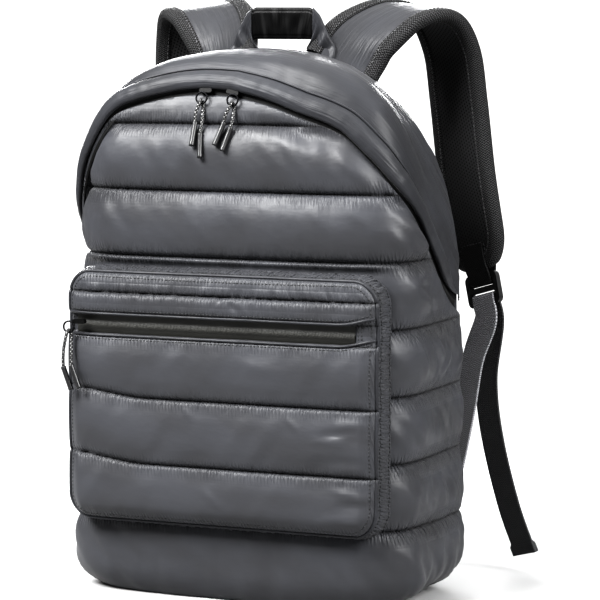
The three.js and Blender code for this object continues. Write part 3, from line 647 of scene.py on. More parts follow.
# %% [markdown]
# The zips are the water-resistant kind: the tape has a smooth, slightly shiny skin, and the
# coil shows only as a fine hatched ridge. The metal is dark, worn a little brighter where
# hands touch it; the locks are moulded plastic with a fine grain.

# %% Zip, metal, plastic and cord finishes
def tape_paint(start):
    along, across = cloth_place(start)
    grain = stretched_noise(along, across, 3.0, 0.6, detail=3.0, seed=8.0)
    hatch = ripple(along + across * 0.25, 1.25)
    coil = painted_value(start, "coil")
    colour = (hatch * coil).mix((0.0075, 0.0075, 0.0062), (0.034, 0.034, 0.03))
    return {"colour": colour, "roughness": 0.34 + grain * 0.16 + coil * 0.15,
            "height": grain * 0.1 + hatch * coil * 0.5}


zip_skin = new_finish("zip_skin", tape_paint, Specular_IOR_Level=0.4, Coat_Weight=0.1, Coat_Roughness=0.3)


# The main zip's tape is the same tape as the pocket's, painted much darker and duller as painted shade for
# the shadow under the flap.
def shaded_tape_paint(start):
    along, _ = cloth_place(start)
    hatch = ripple(along, 1.25) * painted_value(start, "coil")
    return {"colour": hatch.mix((0.0012, 0.0012, 0.0012), (0.008, 0.008, 0.0078)),
            "roughness": 0.6 - hatch * 0.1, "height": hatch * 0.5}


main_zip_painted_shade = new_finish("main_zip_painted_shade", shaded_tape_paint, Specular_IOR_Level=0.2)


def metal_paint(start):
    scuffs = object_noise(start, 420.0, detail=4.0)
    edge = start.node("ShaderNodeNewGeometry", output=7)
    worn = (edge.above(0.54, 0.7) * 0.3 + scuffs.above(0.5, 0.8) * 0.2)
    return {"colour": worn.mix((0.012, 0.012, 0.013), (0.12, 0.12, 0.123)),
            "roughness": 0.36 + scuffs * 0.18, "height": scuffs * 0.05}


dark_metal = new_finish("dark_metal", metal_paint, Metallic=1.0)


def plastic_paint(start):
    grain = object_noise(start, 1500.0)
    cloud = object_noise(start, 60.0)
    return {"colour": cloud.above(0.3, 0.7).mix((0.002, 0.002, 0.0022), (0.0045, 0.0045, 0.005)),
            "roughness": 0.36 + grain * 0.16, "height": grain * 0.06}


black_plastic = new_finish("black_plastic", plastic_paint, Specular_IOR_Level=0.5)


# The sliders get a near-black, dull finish, darker than the locks' plastic, as painted shade for the flap's
# shadow over the main sliders; the pocket slider shares it.
def slider_paint(start):
    grain = object_noise(start, 1500.0)
    return {"colour": grain.above(0.3, 0.7).mix((0.001, 0.001, 0.001), (0.003, 0.003, 0.003)),
            "height": grain * 0.05}


slider_painted_shade = new_finish("slider_painted_shade", slider_paint, Specular_IOR_Level=0.12, Roughness=0.5)


def braid_paint(start):
    along, across = cloth_place(start)
    right = ripple(along + across * 1.1, 3.2)
    left = ripple(along - across * 1.1, 3.2)
    strands = right.math("MAXIMUM", right, left)
    cells = (right * left).above(0.45, 0.7)
    mottle = stretched_noise(along, across, 1.3, 1.0, detail=1.0, seed=9.0)
    fleck = cells * mottle.above(0.42, 0.5)
    colour = fleck.mix((0.004, 0.004, 0.0045), (0.3, 0.3, 0.295))
    return {"colour": colour, "roughness": 0.5 - fleck * 0.15, "height": strands * 0.35}


def sleeve_paint(start):
    along, across = cloth_place(start)
    streak = stretched_noise(along, across, 18.0, 0.9, detail=2.0, seed=10.0)
    return {"colour": streak.above(0.45, 0.75).mix((0.006, 0.006, 0.0065), (0.03, 0.03, 0.031)),
            "roughness": 0.3 + streak * 0.14, "height": streak * 0.06}


braided_cord = new_finish("braided_cord", braid_paint, Specular_IOR_Level=0.5)
shrink_sleeve = new_finish("shrink_sleeve", sleeve_paint,
                           Specular_IOR_Level=0.4, Coat_Weight=0.1, Coat_Roughness=0.25)
print("all finishes:", [m.name for m in bpy.data.materials])

# %% [markdown]
# Cords, bindings and wires are all one shape carried along a path. `smooth_path` turns a few
# points into an even smooth line; `sweep_piece` carries an outline along it without twisting.

# %% Paths and sweeps
SMOOTH_STEPS = 32
TIGHT_STEPS = 24


def smooth_path(points, spacing):
    """An evenly spaced line through points, as a Catmull-Rom curve."""
    p = np.asarray(points, float)
    p = np.vstack([2 * p[0] - p[1], p, 2 * p[-1] - p[-2]])
    t = np.linspace(0, 1, SMOOTH_STEPS + 1)[:-1, None]
    parts = []
    for a, b, c, d in zip(p[:-3], p[1:-2], p[2:-1], p[3:]):
        parts.append(0.5 * (2 * b + (c - a) * t + (2 * a - 5 * b + 4 * c - d) * t ** 2
                            + (3 * b - a - 3 * c + d) * t ** 3))
    dense = np.vstack([*parts, p[-2:-1]])
    return even_path(dense, spacing)


def centripetal_path(points, spacing):
    """A smooth line that doesn't overshoot where points lie close together."""
    p = np.asarray(points, float)
    p = np.vstack([2 * p[0] - p[1], p, 2 * p[-1] - p[-2]])
    knots = np.concatenate([[0], np.cumsum(np.linalg.norm(np.diff(p, axis=0), axis=1) ** 0.5)])
    parts = []
    for i in range(1, len(p) - 2):
        t0, t1, t2, t3 = knots[i - 1:i + 3]
        t = np.linspace(t1, t2, TIGHT_STEPS + 1)[:-1, None]
        a1 = (t1 - t) / (t1 - t0) * p[i - 1] + (t - t0) / (t1 - t0) * p[i]
        a2 = (t2 - t) / (t2 - t1) * p[i] + (t - t1) / (t2 - t1) * p[i + 1]
        a3 = (t3 - t) / (t3 - t2) * p[i + 1] + (t - t2) / (t3 - t2) * p[i + 2]
        b1 = (t2 - t) / (t2 - t0) * a1 + (t - t0) / (t2 - t0) * a2
        b2 = (t3 - t) / (t3 - t1) * a2 + (t - t1) / (t3 - t1) * a3
        parts.append((t2 - t) / (t2 - t1) * b1 + (t - t1) / (t2 - t1) * b2)
    return even_path(np.vstack([*parts, p[-2:-1]]), spacing)


def path_lengths(path):
    """How far along the path each of its points is."""
    return np.concatenate([[0], np.cumsum(np.linalg.norm(np.diff(path, axis=0), axis=1))])


def read_along(at, lengths, values):
    """Rows of values, which belong to those lengths along a path, read off at other lengths."""
    return np.stack([np.interp(at, lengths, values[:, k]) for k in range(values.shape[1])], axis=1)


def even_path(dense, spacing):
    """The same line with its points evenly spaced."""
    lengths = path_lengths(dense)
    count = max(2, int(round(lengths[-1] / spacing)))
    return read_along(np.linspace(0, lengths[-1], count + 1), lengths, dense)


def path_ways(path, closed=False):
    if closed:
        return unit(np.roll(path, -1, axis=0) - np.roll(path, 1, axis=0))
    return unit(np.gradient(path, axis=0))


def path_frames(path, across, closed=False):
    """For each point its way, a direction across kept as near as can be to `across`, and the
    direction out of both."""
    way = path_ways(path, closed)
    across = np.broadcast_to(np.asarray(across, float), path.shape)
    wide = unit(across - way * (across * way).sum(1, keepdims=True))
    return way, wide, np.cross(way, wide)


def carried_frames(path):
    """Frames that never twist, each turned from the one before by the bend of the path."""
    way = path_ways(path)
    wide = np.zeros_like(path)
    guess = np.eye(3)[np.argmin(np.abs(way[0]))]
    for i, w in enumerate(way):
        guess = guess - w * guess.dot(w)
        guess = guess / np.linalg.norm(guess)
        wide[i] = guess
    return way, wide, np.cross(way, wide)


def outline_rings(path, frames, outline):
    """An outline, as (across, out) in millimetres, set at each point of a path."""
    _, wide, out = frames
    return path[:, None] + wide[:, None] * outline[..., :1] + out[:, None] * outline[..., 1:]


def capped(rings, path, along):
    """Adds a point at each end of the path, which closes the tube, and its length along."""
    rings = np.concatenate([rings[:1] * 0 + path[0], rings, rings[:1] * 0 + path[-1]])
    return rings, np.concatenate([along[:1], along, along[-1:]])


def sweep_piece(name, path, outline, frames=None, scale=None, caps=True):
    """A closed tube: outline is (across, out) in millimetres, carried along the path."""
    outline = np.asarray(outline, float)
    if outline.ndim == 2:
        outline = np.broadcast_to(outline, (len(path), *outline.shape))
    if scale is not None:
        outline = outline * np.asarray(scale, float).reshape(len(path), 1, -1)
    rings = outline_rings(path, frames or carried_frames(path), outline)
    along = path_lengths(path)
    if caps:
        rings, along = capped(rings, path, along)
    around = path_lengths(outline[len(outline) // 2])
    cloth = np.stack(np.broadcast_arrays(along[:, None], around[None, :]), axis=-1)
    return build_piece(name, rings, grid_quads(*rings.shape[:2], round_columns=True)[:, ::-1], cloth)


def circle(radius, sides):
    turn = np.linspace(0, math.tau, sides, endpoint=False)
    return np.stack([np.cos(turn), np.sin(turn)], axis=1) * radius


print("a ten-millimetre line has", len(smooth_path([(0, 0, 0), (10, 0, 0)], 0.5)), "points")

# %% [markdown]
# Each zip pull is a steel ring with a short braided cord folded through it. The two ends of
# the cord are held in shrunk plastic sleeves. The photograph shows each cord from end to
# end, so its length is the drawn one. It hangs limp from the ring and rests on the swollen
# quilting behind it.

# %% Where the pulls hang
RING_RADIUS = 4.6
RING_WIRE = 1.5
CORD_DIAMETER = 2.6
RING_STEPS = 40
CORD_SIDES = 14
CORD_TUCK = 6.0
CORD_STEP = 0.35
PULL_ZIPS = {"main_left": (-22.785, -63.286, 411.858), "main_right": (1.671, -63.824, 410.503),
             "pocket": (-127.0, -97.0, 223.0)}
PULLS = {
    "main_left": {"tilt": 0.2, "ring": (-2.5, -7.0, -8.9),
                  "ends": [((-5.6, -12.2, -27.9), (-5.8, -19.6, -47.4)),
                           ((-0.5, -14.2, -36.9), (1.8, -20.3, -56.9))]},
    "main_right": {"tilt": 0.2, "ring": (0.2, -6.9, -8.9),
                   "ends": [((-4.9, -11.7, -26.5), (-10.7, -19.0, -45.5)),
                            ((1.2, -12.7, -30.5), (-3.6, -19.5, -49.5))]},
    "pocket": {"tilt": 0.0, "ring": (-2.0, -4.8, -4.6),
               "ends": [((-7.0, -5.5, -37.0), (1.0, -7.0, -55.5)),
                        ((1.0, -7.3, -35.0), (8.5, -8.3, -53.0))]},
}


def pull_sleeve(name, start, way):
    """A shrunk sleeve: a little wider at its two rims, drawn in where it grips the cord."""
    at = np.array([-0.2, 0, 0.25, 0.8, 2.5, 6, 10, 14, 17.5, 19, 19.7, 20.0, 20.0])
    radius = np.array([1.45, 1.9, 2.2, 2.25, 2.05, 2.1, 2.15, 2.1, 2.1, 2.2, 2.15, 1.85, 1.2])
    path = start + way * at[:, None]
    frames = (np.broadcast_to(way, path.shape), *cross_ways(way, len(path)))
    return sweep_piece(name, path, circle(1.0, 20), frames, scale=radius)


def cross_ways(way, count):
    """Two directions across a straight way, repeated."""
    side = unit(np.cross(way, np.eye(3)[np.argmin(np.abs(way))]))
    return np.broadcast_to(side, (count, 3)), np.broadcast_to(np.cross(way, side), (count, 3))


def pull_cord_path(ring, tilt, ends):
    """Up from one sleeve, through the ring over its lowest wire, and down to the other."""
    lowest = ring + np.array([0, -math.sin(tilt), -math.cos(tilt)]) * RING_RADIUS
    over = (RING_WIRE + CORD_DIAMETER) / 2 + 0.1
    starts = [np.array(a, float) for a, _ in ends]
    ways = [unit(np.array(b, float) - np.array(a, float)) for a, b in ends]
    turn = np.radians([-15, 20, 55, 90, 125, 160, 195])
    aside = np.linspace(-0.9, 0.9, len(turn))
    bend = lowest + np.stack([aside, -np.cos(turn) * over, np.sin(turn) * over], axis=1)
    a, b = starts
    up = [a + ways[0] * CORD_TUCK, a + ways[0] * 1.0, (a + bend[0]) / 2 + np.array([-0.9, -0.6, 0])]
    down = [(b + bend[-1]) / 2 + np.array([0.9, -0.9, 0]), b + ways[1] * 1.0, b + ways[1] * CORD_TUCK]
    return centripetal_path([*up, *bend, *down], CORD_STEP)


print("pulls:", list(PULLS))

# %% Make rings, cords and sleeves
def pull_ring(name, ring, tilt):
    """A round wire bent into a ring that leans out of the upright by its tilt."""
    turn = np.linspace(0, math.tau, RING_STEPS + 1)[:-1]
    loop = ring + RING_RADIUS * (np.cos(turn)[:, None] * np.array([1, 0, 0])
                                 + np.sin(turn)[:, None] * np.array([0, math.sin(tilt), math.cos(tilt)]))
    frames = path_frames(loop, np.array([0, math.cos(tilt), -math.sin(tilt)]), closed=True)
    rings = outline_rings(loop, frames, circle(RING_WIRE / 2, 12))
    return build_piece(name, rings, grid_quads(*rings.shape[:2], True, True)[:, ::-1])


def braided_tube(name, path):
    """The cord, its surface raised where two strands of the braid cross."""
    along = path_lengths(path)[:, None]
    around = np.linspace(0, math.tau, CORD_SIDES + 1)[:-1]
    braid = (np.abs(np.sin(along + around)) + np.abs(np.sin(along - around))) / 2
    outline = circle(CORD_DIAMETER / 2, CORD_SIDES)[None] * (0.95 + 0.08 * braid[..., None])
    return sweep_piece(name, path, outline)


def make_pull(name, tilt, ring, ends):
    """One zip pull; gives its cord's length in millimetres."""
    zip_place = np.array(PULL_ZIPS[name])
    ring = zip_place + np.array(ring)
    ends = [(zip_place + np.array(a), zip_place + np.array(b)) for a, b in ends]
    hand_over(pull_ring(f"{name}_pull_ring", ring, tilt), dark_metal, "dark_metal", f"{name}_ring")
    path = pull_cord_path(ring, tilt, ends)
    length = path_lengths(path)[-1]
    cord = hand_over(braided_tube(f"{name}_pull_cord", path), braided_cord, "pull_cord", f"{name}_cord")
    for letter, (start, end) in zip("ab", ends):
        sleeve = pull_sleeve(f"{name}_pull_sleeve_{letter}", start, unit(end - start))
        hand_over(sleeve, shrink_sleeve, "shrink_tube", f"{name}_cord_end_{letter}")
    return length


for pull_name, pull in PULLS.items():
    print(pull_name, "cord length", round(make_pull(pull_name, **pull), 1), "mm")

# %% [markdown]
# The quilted body is one grid on the hull. Rows lie close together at the quilt seams,
# where the cloth turns sharply, and wide apart on the swollen middles. Columns run from one
# back seam round the front to the other. Rows above the zip's line are pressed down onto
# it, and the mesh helper joins the points that meet there.

# %% Rows and columns of the quilted body
COLUMN_STEP = 1.5
ROWS_PER_CHANNEL = 28
half_turns = np.linspace(0, 1, 1201)
end_turn = float(seam_turn(np.array([150.0]))[0])
girth_points = hull_point(half_turns * end_turn, 150.0)
girth = path_lengths(girth_points)
HALF_GIRTH = float(girth[-1])
column_count = int(HALF_GIRTH / COLUMN_STEP)
column_u = np.linspace(0, HALF_GIRTH, column_count + 1)
column_share = np.interp(column_u, girth, half_turns)
column_u = np.concatenate([-column_u[:0:-1], column_u])
column_share = np.concatenate([-column_share[:0:-1], column_share])
t = np.arange(ROWS_PER_CHANNEL) / ROWS_PER_CHANNEL
channel_rows = t - 0.62 * np.sin(math.tau * t) / math.tau
foot_rows = np.array([0, 0.8, 2.2, 4, 6.2, 8.8, 11.8, 15, 18.5, 22, 25.5, 29, 32.4])
top_rows = FIRST_QUILT_LINE + QUILT_PITCH * (np.arange(-1, 7)[:, None] + channel_rows).ravel()
body_z = np.concatenate([foot_rows, top_rows[(top_rows > 35.0) & (top_rows < 0.96 * BODY_HEIGHT)]])
print("body grid", len(body_z), "rows by", len(column_u), "columns, half girth", round(HALF_GIRTH), "mm")

# %% [markdown]
# The swelling: a channel is highest a little below its middle, because the filling sinks.
# At each seam the cloth is gathered. The gathers are strongest in some places and almost
# absent in others, lean a little, and die away in about a finger's width.

# %% Swelling and gathers
def seam_distance(z, line, pitch):
    """Distance up or down to the nearest quilt seam, and which seam that is."""
    place = (z - line) / pitch
    nearest = np.round(place)
    return (place - nearest) * pitch, nearest


def channel_profile(z, line, pitch):
    """0 at the seams and 1 where the channel is fullest."""
    place = (z - line) / pitch
    share = place - np.floor(place)
    share = share + 0.035 * np.sin(math.tau * share)
    return np.abs(np.sin(math.pi * share)) ** 0.78


def gathers(u, away, seam, strength, cell=3.1, reach=8.0):
    """Folds in millimetres, cut in on both sides of a seam."""
    fade = np.exp(-(np.abs(away) / reach) ** 1.25)
    lean = (soft_noise(u / 55.0, seam * 3.1, 3) - 0.5) * 1.6
    side = np.where(away > 0, 11.0, 0.0)
    fold = soft_noise((u + lean * away) / cell, seam * 5.3 + side + np.abs(away) / 26.0, 5)
    fine = soft_noise((u + lean * away) / (cell * 0.62), seam * 7.9 + side, 6)
    mix = 1 - (0.68 * fold + 0.32 * fine)
    return -mix * fade * strength


def creases(u, z, folds):
    """Long folds given in a list: each from (u, z) to (u, z), with a width and a height."""
    total = np.zeros(np.broadcast(u, z).shape)
    for u0, z0, u1, z1, width, height in folds:
        du, dz = u1 - u0, z1 - z0
        length = math.hypot(du, dz)
        along = np.clip(((u - u0) * du + (z - z0) * dz) / length ** 2, 0, 1)
        gap = np.hypot(u - u0 - along * du, z - z0 - along * dz)
        taper = np.sin(math.pi * np.clip(along * 0.9 + 0.05, 0, 1)) ** 0.6
        total = total + height * taper * np.exp(-(gap / width) ** 2)
    return total


RIGHT_FOLDS = [
    (186, 214, 206, 196, 3.0, 1.6), (176, 222, 190, 205, 2.6, -1.4), (196, 219, 214, 204, 2.2, -1.3),
    (222, 222, 232, 205, 2.8, 1.5), (206, 180, 226, 197, 3.2, 1.5), (214, 176, 232, 190, 2.4, -1.2),
    (238, 180, 256, 196, 3.0, 1.3), (160, 214, 170, 186, 3.2, 1.2), (190, 176, 196, 190, 2.0, 1.0),
    (205, 146, 214, 112, 3.6, 0.9), (228, 140, 238, 116, 3.0, 0.9), (196, 100, 210, 78, 3.4, 1.3),
    (206, 110, 226, 84, 3.0, -1.1), (222, 104, 232, 80, 3.2, 1.2), (238, 106, 246, 76, 3.2, 1.0),
    (180, 92, 192, 70, 3.0, 1.0), (190, 60, 206, 40, 3.6, 1.2), (206, 62, 222, 44, 3.2, 1.2),
    (226, 62, 238, 46, 3.0, 1.0), (250, 60, 258, 44, 3.0, 0.9), (160, 262, 178, 268, 3.4, 1.3),
    (160, 255, 186, 256, 3.0, -1.2), (158, 248, 182, 240, 3.2, 1.1), (168, 282, 190, 300, 4.0, 0.8),
]


SIDE_FROM_TO = (118.0, 165.0)
LEFT_FROM_TO = (100.0, 140.0)


def body_seam(z):
    """The body's nearest seam. Below the first channel's middle there is only the first one."""
    away, seam = seam_distance(z, FIRST_QUILT_LINE, QUILT_PITCH)
    low = z < FIRST_QUILT_LINE - QUILT_PITCH / 2
    return np.where(low, z - FIRST_QUILT_LINE, away), np.where(low, 0.0, seam), low


def body_swell(u, turn, z):
    """How far the quilted cloth stands off the hull, in millimetres."""
    away, seam, low = body_seam(z)
    profile = np.where(low, 1.0, channel_profile(z, FIRST_QUILT_LINE, QUILT_PITCH))
    room = zip_height(turn) - ZIP_HALF_WIDTH - z
    at_zip = rise(room, -1.0, 15.0)
    at_foot = rise(z, -12.0, 24.0)
    at_back = rise(HALF_GIRTH - np.abs(u), -2.0, 16.0)
    uneven = 0.9 + 0.2 * soft_noise(u / 70.0, z / 60.0, 9)
    side = rise(np.abs(u), *SIDE_FROM_TO)
    held_flat = rise(-u, 110.0, 150.0) * rise(z, 200.0, 225.0)
    behind = rise(np.abs(u), 172.0, 215.0) * (1 - 0.6 * held_flat)
    swell = PUFF * 1.22 * profile * uneven * (1 - 0.55 * held_flat) * (1 - 0.5 * behind)
    swell = swell - 5.0 * held_flat + (1.2 + 4.0 * (1 - rise(z, 40.0, 130.0))) * behind
    left_edge = rise(-u, *LEFT_FROM_TO)
    place = 0.35 + 0.75 * soft_noise(u / 34.0, seam * 2.7, 11)
    strength = (1.6 + 1.7 * side + 1.2 * left_edge) * place
    folds = gathers(u, away, seam, strength, cell=2.5)
    lazy = (soft_noise(u / 15.0, z / 70.0, 21) - 0.5) * (1.7 + 1.2 * side)
    slant = (soft_noise((u + z * 0.9) / 11.0, (z - u * 0.4) / 38.0, 22) - 0.5) * (1.2 + 1.9 * side)
    small = (soft_noise(u / 6.0, z / 19.0, 23) - 0.5) * (0.4 + 0.5 * side)
    middle = np.clip(profile, 0, 1) ** 1.5
    above_pocket = rise(z, 221.0, 230.0) * (1 - rise(z, 268.0, 274.0))
    over_pocket = above_pocket * (1 - rise(np.abs(u), 122.0, 150.0))
    swell = swell - 5.0 * over_pocket
    swell = swell - 4.0 * (1 - rise(room, 8.0, 26.0)) * (1 - rise(np.abs(u), 150.0, 175.0))
    total = swell + folds + (lazy + slant + small) * middle + creases(u, z, RIGHT_FOLDS) * 1.5 * middle
    groove = -2.0 * np.exp(-(np.abs(away) / 1.4) ** 1.4)
    return (total * at_zip + groove * rise(room, 2.0, 8.0)) * at_back * (0.25 + 0.75 * at_foot)


print("widest swelling", round(float(body_swell(np.zeros(1), np.zeros(1), np.full(1, 140.0))[0]), 1), "mm")

# %% Lay the cloth on the hull
seam_levels = np.linspace(0, 430, 87)
seam_turns = seam_turn(seam_levels)


def body_places(z, share):
    """Heights and turns of the grid, with rows above the zip pressed onto its line."""
    height = np.array(z, float)
    for _ in range(8):
        turn = share * np.interp(height, seam_levels, seam_turns)
        height = np.minimum(z, zip_height(turn) - ZIP_HALF_WIDTH)
    return height, turn


zz, ff = np.meshgrid(body_z, column_share, indexing="ij")
uu = np.broadcast_to(column_u, zz.shape)
height, turn = body_places(zz, ff)
on_hull = hull_point(turn, height)
normal = hull_normal(on_hull)
cloth_points = on_hull + normal * body_swell(uu, turn, height)[..., None]
cloth_points[..., 2] = np.maximum(cloth_points[..., 2], 0.0)
tuck = np.array([1.2, 3.5, 6.0])[:, None, None]
lift = np.array([0.6, 1.2, 1.5])[:, None, None]
hem = cloth_points[-1] - normal[-1] * tuck + np.array([0, 0, 1.0]) * lift
base_middle = np.array([0.0, float(panel_plane(0.0)), 0.0])
shrink = np.array([0.0, 0.3, 0.6, 0.85, 0.95])[:, None, None]
base = base_middle + (cloth_points[0] - base_middle) * shrink
all_points = np.concatenate([base, cloth_points, hem])
rows = len(all_points)
away, _, _ = body_seam(height)
pinch = np.clip(1 - np.abs(away) / 14.0, 0, 1)
pinch = np.concatenate([np.zeros((5, pinch.shape[1])), pinch, np.zeros((3, pinch.shape[1]))])
cloth_v = np.concatenate([-np.linspace(60, 4, 5)[:, None] + height[:1], height,
                          height[-1:] + [[2], [4], [6]]])
cloth_map = np.stack([np.broadcast_to(column_u, cloth_v.shape), cloth_v], axis=-1)
side_share = rise(np.abs(column_u), *SIDE_FROM_TO)
left_share = rise(-column_u, *LEFT_FROM_TO)
ruck_share = 0.6 + 1.6 * side_share + 1.6 * left_share
ruck = pinch ** 2 * ruck_share * (0.4 + 0.9 * soft_noise(column_u / 30.0, 3.0, 31))
body = build_piece("quilted_body", all_points, grid_quads(rows, len(column_u)), cloth_map,
                   {"pinch": pinch, "ruck": ruck})
hand_over(body, quilted_nylon, "quilted_nylon", "quilted_shell", padded=0.7)

# %% [markdown]
# Above the zip the cloth is smooth. The top gusset is stretched between two lines: the zip
# in front and the back panel's edge behind. Each column of the grid is a straight line
# between them, laid onto the hull.

# %% The two edges of the gusset
GUSSET_COLUMNS = 420
GUSSET_ROWS = 44
GUSSET_MIDDLE = 225.0
gusset_turns = np.radians(ZIP_END_TURN - 1.0) * np.linspace(-1, 1, 901)
zip_at, _, _, zip_side = zip_frames(gusset_turns)
front_edge = even_path(zip_at + zip_side * 6.0, path_lengths(zip_at)[-1] / GUSSET_COLUMNS)
half_angle = math.acos((float(front_edge[0, 2]) - GUSSET_MIDDLE) / 150.0)
seam_angles = np.linspace(-half_angle, half_angle, 1201)
back_edge = even_path(panel_outline(seam_angles, GUSSET_MIDDLE, 260.0, 26), 1.0)
lengths = path_lengths(back_edge)
share = path_lengths(front_edge) / path_lengths(front_edge)[-1]
back_edge = read_along(share * lengths[-1], lengths, back_edge)
print("gusset", len(front_edge), "columns, back seam", round(lengths[-1]), "mm long")

# %% Lay the gusset on the hull
w = np.linspace(0, 1, GUSSET_ROWS)[:, None]
w = w - 0.25 * np.sin(math.tau * w) / math.tau
straight = front_edge[None] * (1 - w[..., None]) + back_edge[None] * w[..., None]
on_gusset = onto_hull(straight)
gusset_normal = hull_normal(on_gusset)
gusset_u = path_lengths(front_edge)
span = np.linalg.norm(back_edge - front_edge, axis=1)
gusset_v = w * span[None]
from_back = (1 - w) * span[None]
uu = np.broadcast_to(gusset_u, gusset_v.shape)
edges = rise(from_back, 0.0, 9.0) * rise(gusset_v, 4.0, 22.0)
long_folds = (soft_noise(uu / 60.0, gusset_v / 7.5, 31) - 0.5) * 1.5
short_folds = (soft_noise(uu / 9.0, gusset_v / 26.0, 32) - 0.5) * 0.8
puffed = 1.6 * np.sin(math.pi * np.clip(w, 0, 1)) ** 0.8 * np.minimum(1, span / 40.0)
gusset_lift = (puffed + long_folds + short_folds) * edges - 1.5 * np.exp(-(from_back / 1.6) ** 2)
gusset_points = on_gusset + gusset_normal * gusset_lift[..., None]
gusset_cloth = np.stack([uu, gusset_v], axis=-1)
gusset_pinch = np.clip(1 - from_back / 12.0, 0, 1)
gusset = build_piece("top_gusset_cloth", gusset_points, grid_quads(GUSSET_ROWS, len(front_edge)),
                     gusset_cloth, {"pinch": gusset_pinch})
hand_over(gusset, smooth_nylon, "smooth_nylon", "top_gusset")

# %% [markdown]
# A rounded flap hangs over the zip like a porch and hides it from rain. It is folded cloth
# over soft wadding: round at its lower lip, sewn down behind with a fine piped seam, and
# drawn to a point at each end.

# %% The flap and its piped seam
FLAP_OUTLINE = np.array([(-0.2, 0.2), (-1.6, 0.6), (-2.6, 2.0), (-2.3, 3.8), (-0.9, 5.1),
                         (1.6, 5.9), (4.6, 6.0), (7.8, 5.4), (10.6, 4.1), (12.6, 2.6),
                         (13.6, 1.3), (14.2, 0.5), (14.6, 0.1), (14.4, -0.6), (7.0, -0.6)])
FLAP_MIDDLE = 6.0
FLAP_COUNT = 560
flap_turns = np.radians(ZIP_END_TURN - 8.0) * np.linspace(-1, 1, 1601)
flap_at, _, _, _ = zip_frames(flap_turns)
flap_reached = path_lengths(flap_at) / path_lengths(flap_at)[-1]
flap_line_turns = np.interp(np.linspace(0, 1, FLAP_COUNT), flap_reached, flap_turns)
flap_at, _, _, flap_side = zip_frames(flap_line_turns)
flap_u = path_lengths(flap_at)
flap_share = 2 * flap_u / flap_u[-1] - 1
full = np.minimum(1, 0.12 + (1 - np.abs(flap_share)) * 7.0)
outline = smooth_path(np.column_stack([FLAP_OUTLINE, np.zeros(len(FLAP_OUTLINE))]), 0.75)[:, :2]
reach = FLAP_MIDDLE + (outline[None, :, 0] - FLAP_MIDDLE) * full[:, None]
lift = outline[None, :, 1] * full[:, None]
near = flap_at[:, None] + flap_side[:, None] * reach[..., None]
surface = onto_hull(near)
folds = (soft_noise(flap_u[:, None] / 5.5, reach / 30.0, 41) - 0.5) * 0.5
folds = folds + (soft_noise(flap_u[:, None] / 22.0, reach / 9.0, 42) - 0.5) * 0.9
lift = lift + folds * np.clip(lift / 4.0, 0, 1)
flap_points = surface + hull_normal(surface) * lift[..., None]
flap_cloth = np.stack(np.broadcast_arrays(flap_u[:, None], path_lengths(outline)[None]), axis=-1)
flap_pinch = np.clip(1 - (14.6 - reach) / 7.0, 0, 0.85)
flap_quads = grid_quads(len(flap_at), len(outline), round_columns=True)[:, ::-1]
flap = build_piece("zip_flap", flap_points, flap_quads, flap_cloth, {"pinch": flap_pinch})
hand_over(flap, smooth_nylon, "smooth_nylon", "zip_welt")
piping_line = onto_hull(flap_at + flap_side * (FLAP_MIDDLE + 9.4 * full)[:, None], 0.5)[8:-8]
flap_piping = sweep_piece("flap_piping", piping_line, circle(1.0, 8))
hand_over(flap_piping, smooth_nylon, "smooth_nylon")

# %% The zip's tape and coil under the flap
tape_across = np.linspace(-7.6, 7.0, 23)
coil_rise = np.exp(-((tape_across + 1.0) / 1.6) ** 2)
tape_near = flap_at[:, None] + flap_side[:, None] * tape_across[None, :, None]
tape_points = onto_hull(tape_near, -1.4 + 1.0 * coil_rise[None] * np.ones((len(flap_at), 1)))
tape_cloth = np.stack(np.broadcast_arrays(flap_u[:, None], tape_across[None]), axis=-1)
tape = build_piece("main_zip", tape_points, grid_quads(*tape_points.shape[:2])[:, ::-1], tape_cloth,
                   {"coil": np.broadcast_to(coil_rise, tape_points.shape[:2])})
hand_over(tape, main_zip_painted_shade, "zip_cloth", "main_zip_tape")

# %% [markdown]
# The pocket is a quilted front panel with a narrow wall round it. The wall is ruched: sewn
# between two rows of stitches while the elastic cloth was stretched, so it puckers. The
# front panel has its own seams; the zip lies sunk between two folded lips.

# %% The pocket's sizes and seams
POCKET_WIDTH = 276.0
POCKET_BOTTOM = 59.0
POCKET_TOP = 267.0
POCKET_CORNER = 24.0
POCKET_DEPTH = 97.0
POCKET_SEAMS = np.array([63.0, 110.0, 163.2, 213.0, 229.8, 247.0, 263.0])
POCKET_PUFFS = np.array([5.2, 5.6, 5.4, 0.0, 3.0, 1.3])
ZIP_MIDDLE = 221.4
ZIP_LEFT_END = -127.0
ZIP_RIGHT_END = 117.0
WALL_INSET = 4.0
LIPS = (("upper", 230.0, 2.9), ("lower", 212.8, -2.9))


def pocket_half_width(z, inset):
    """Half the pocket's width at a height, with its rounded corners."""
    corner = POCKET_CORNER - inset
    edge = np.minimum(z - POCKET_BOTTOM - inset, POCKET_TOP - inset - z)
    drop = corner - np.sqrt(np.maximum(0, corner ** 2 - np.maximum(0, corner - edge) ** 2))
    return POCKET_WIDTH / 2 - inset - drop


def pocket_sag(x):
    """The quilt seams hang lower in the middle of the pocket than at its left side."""
    return 7.0 * rise(-x, 60.0, 134.0)


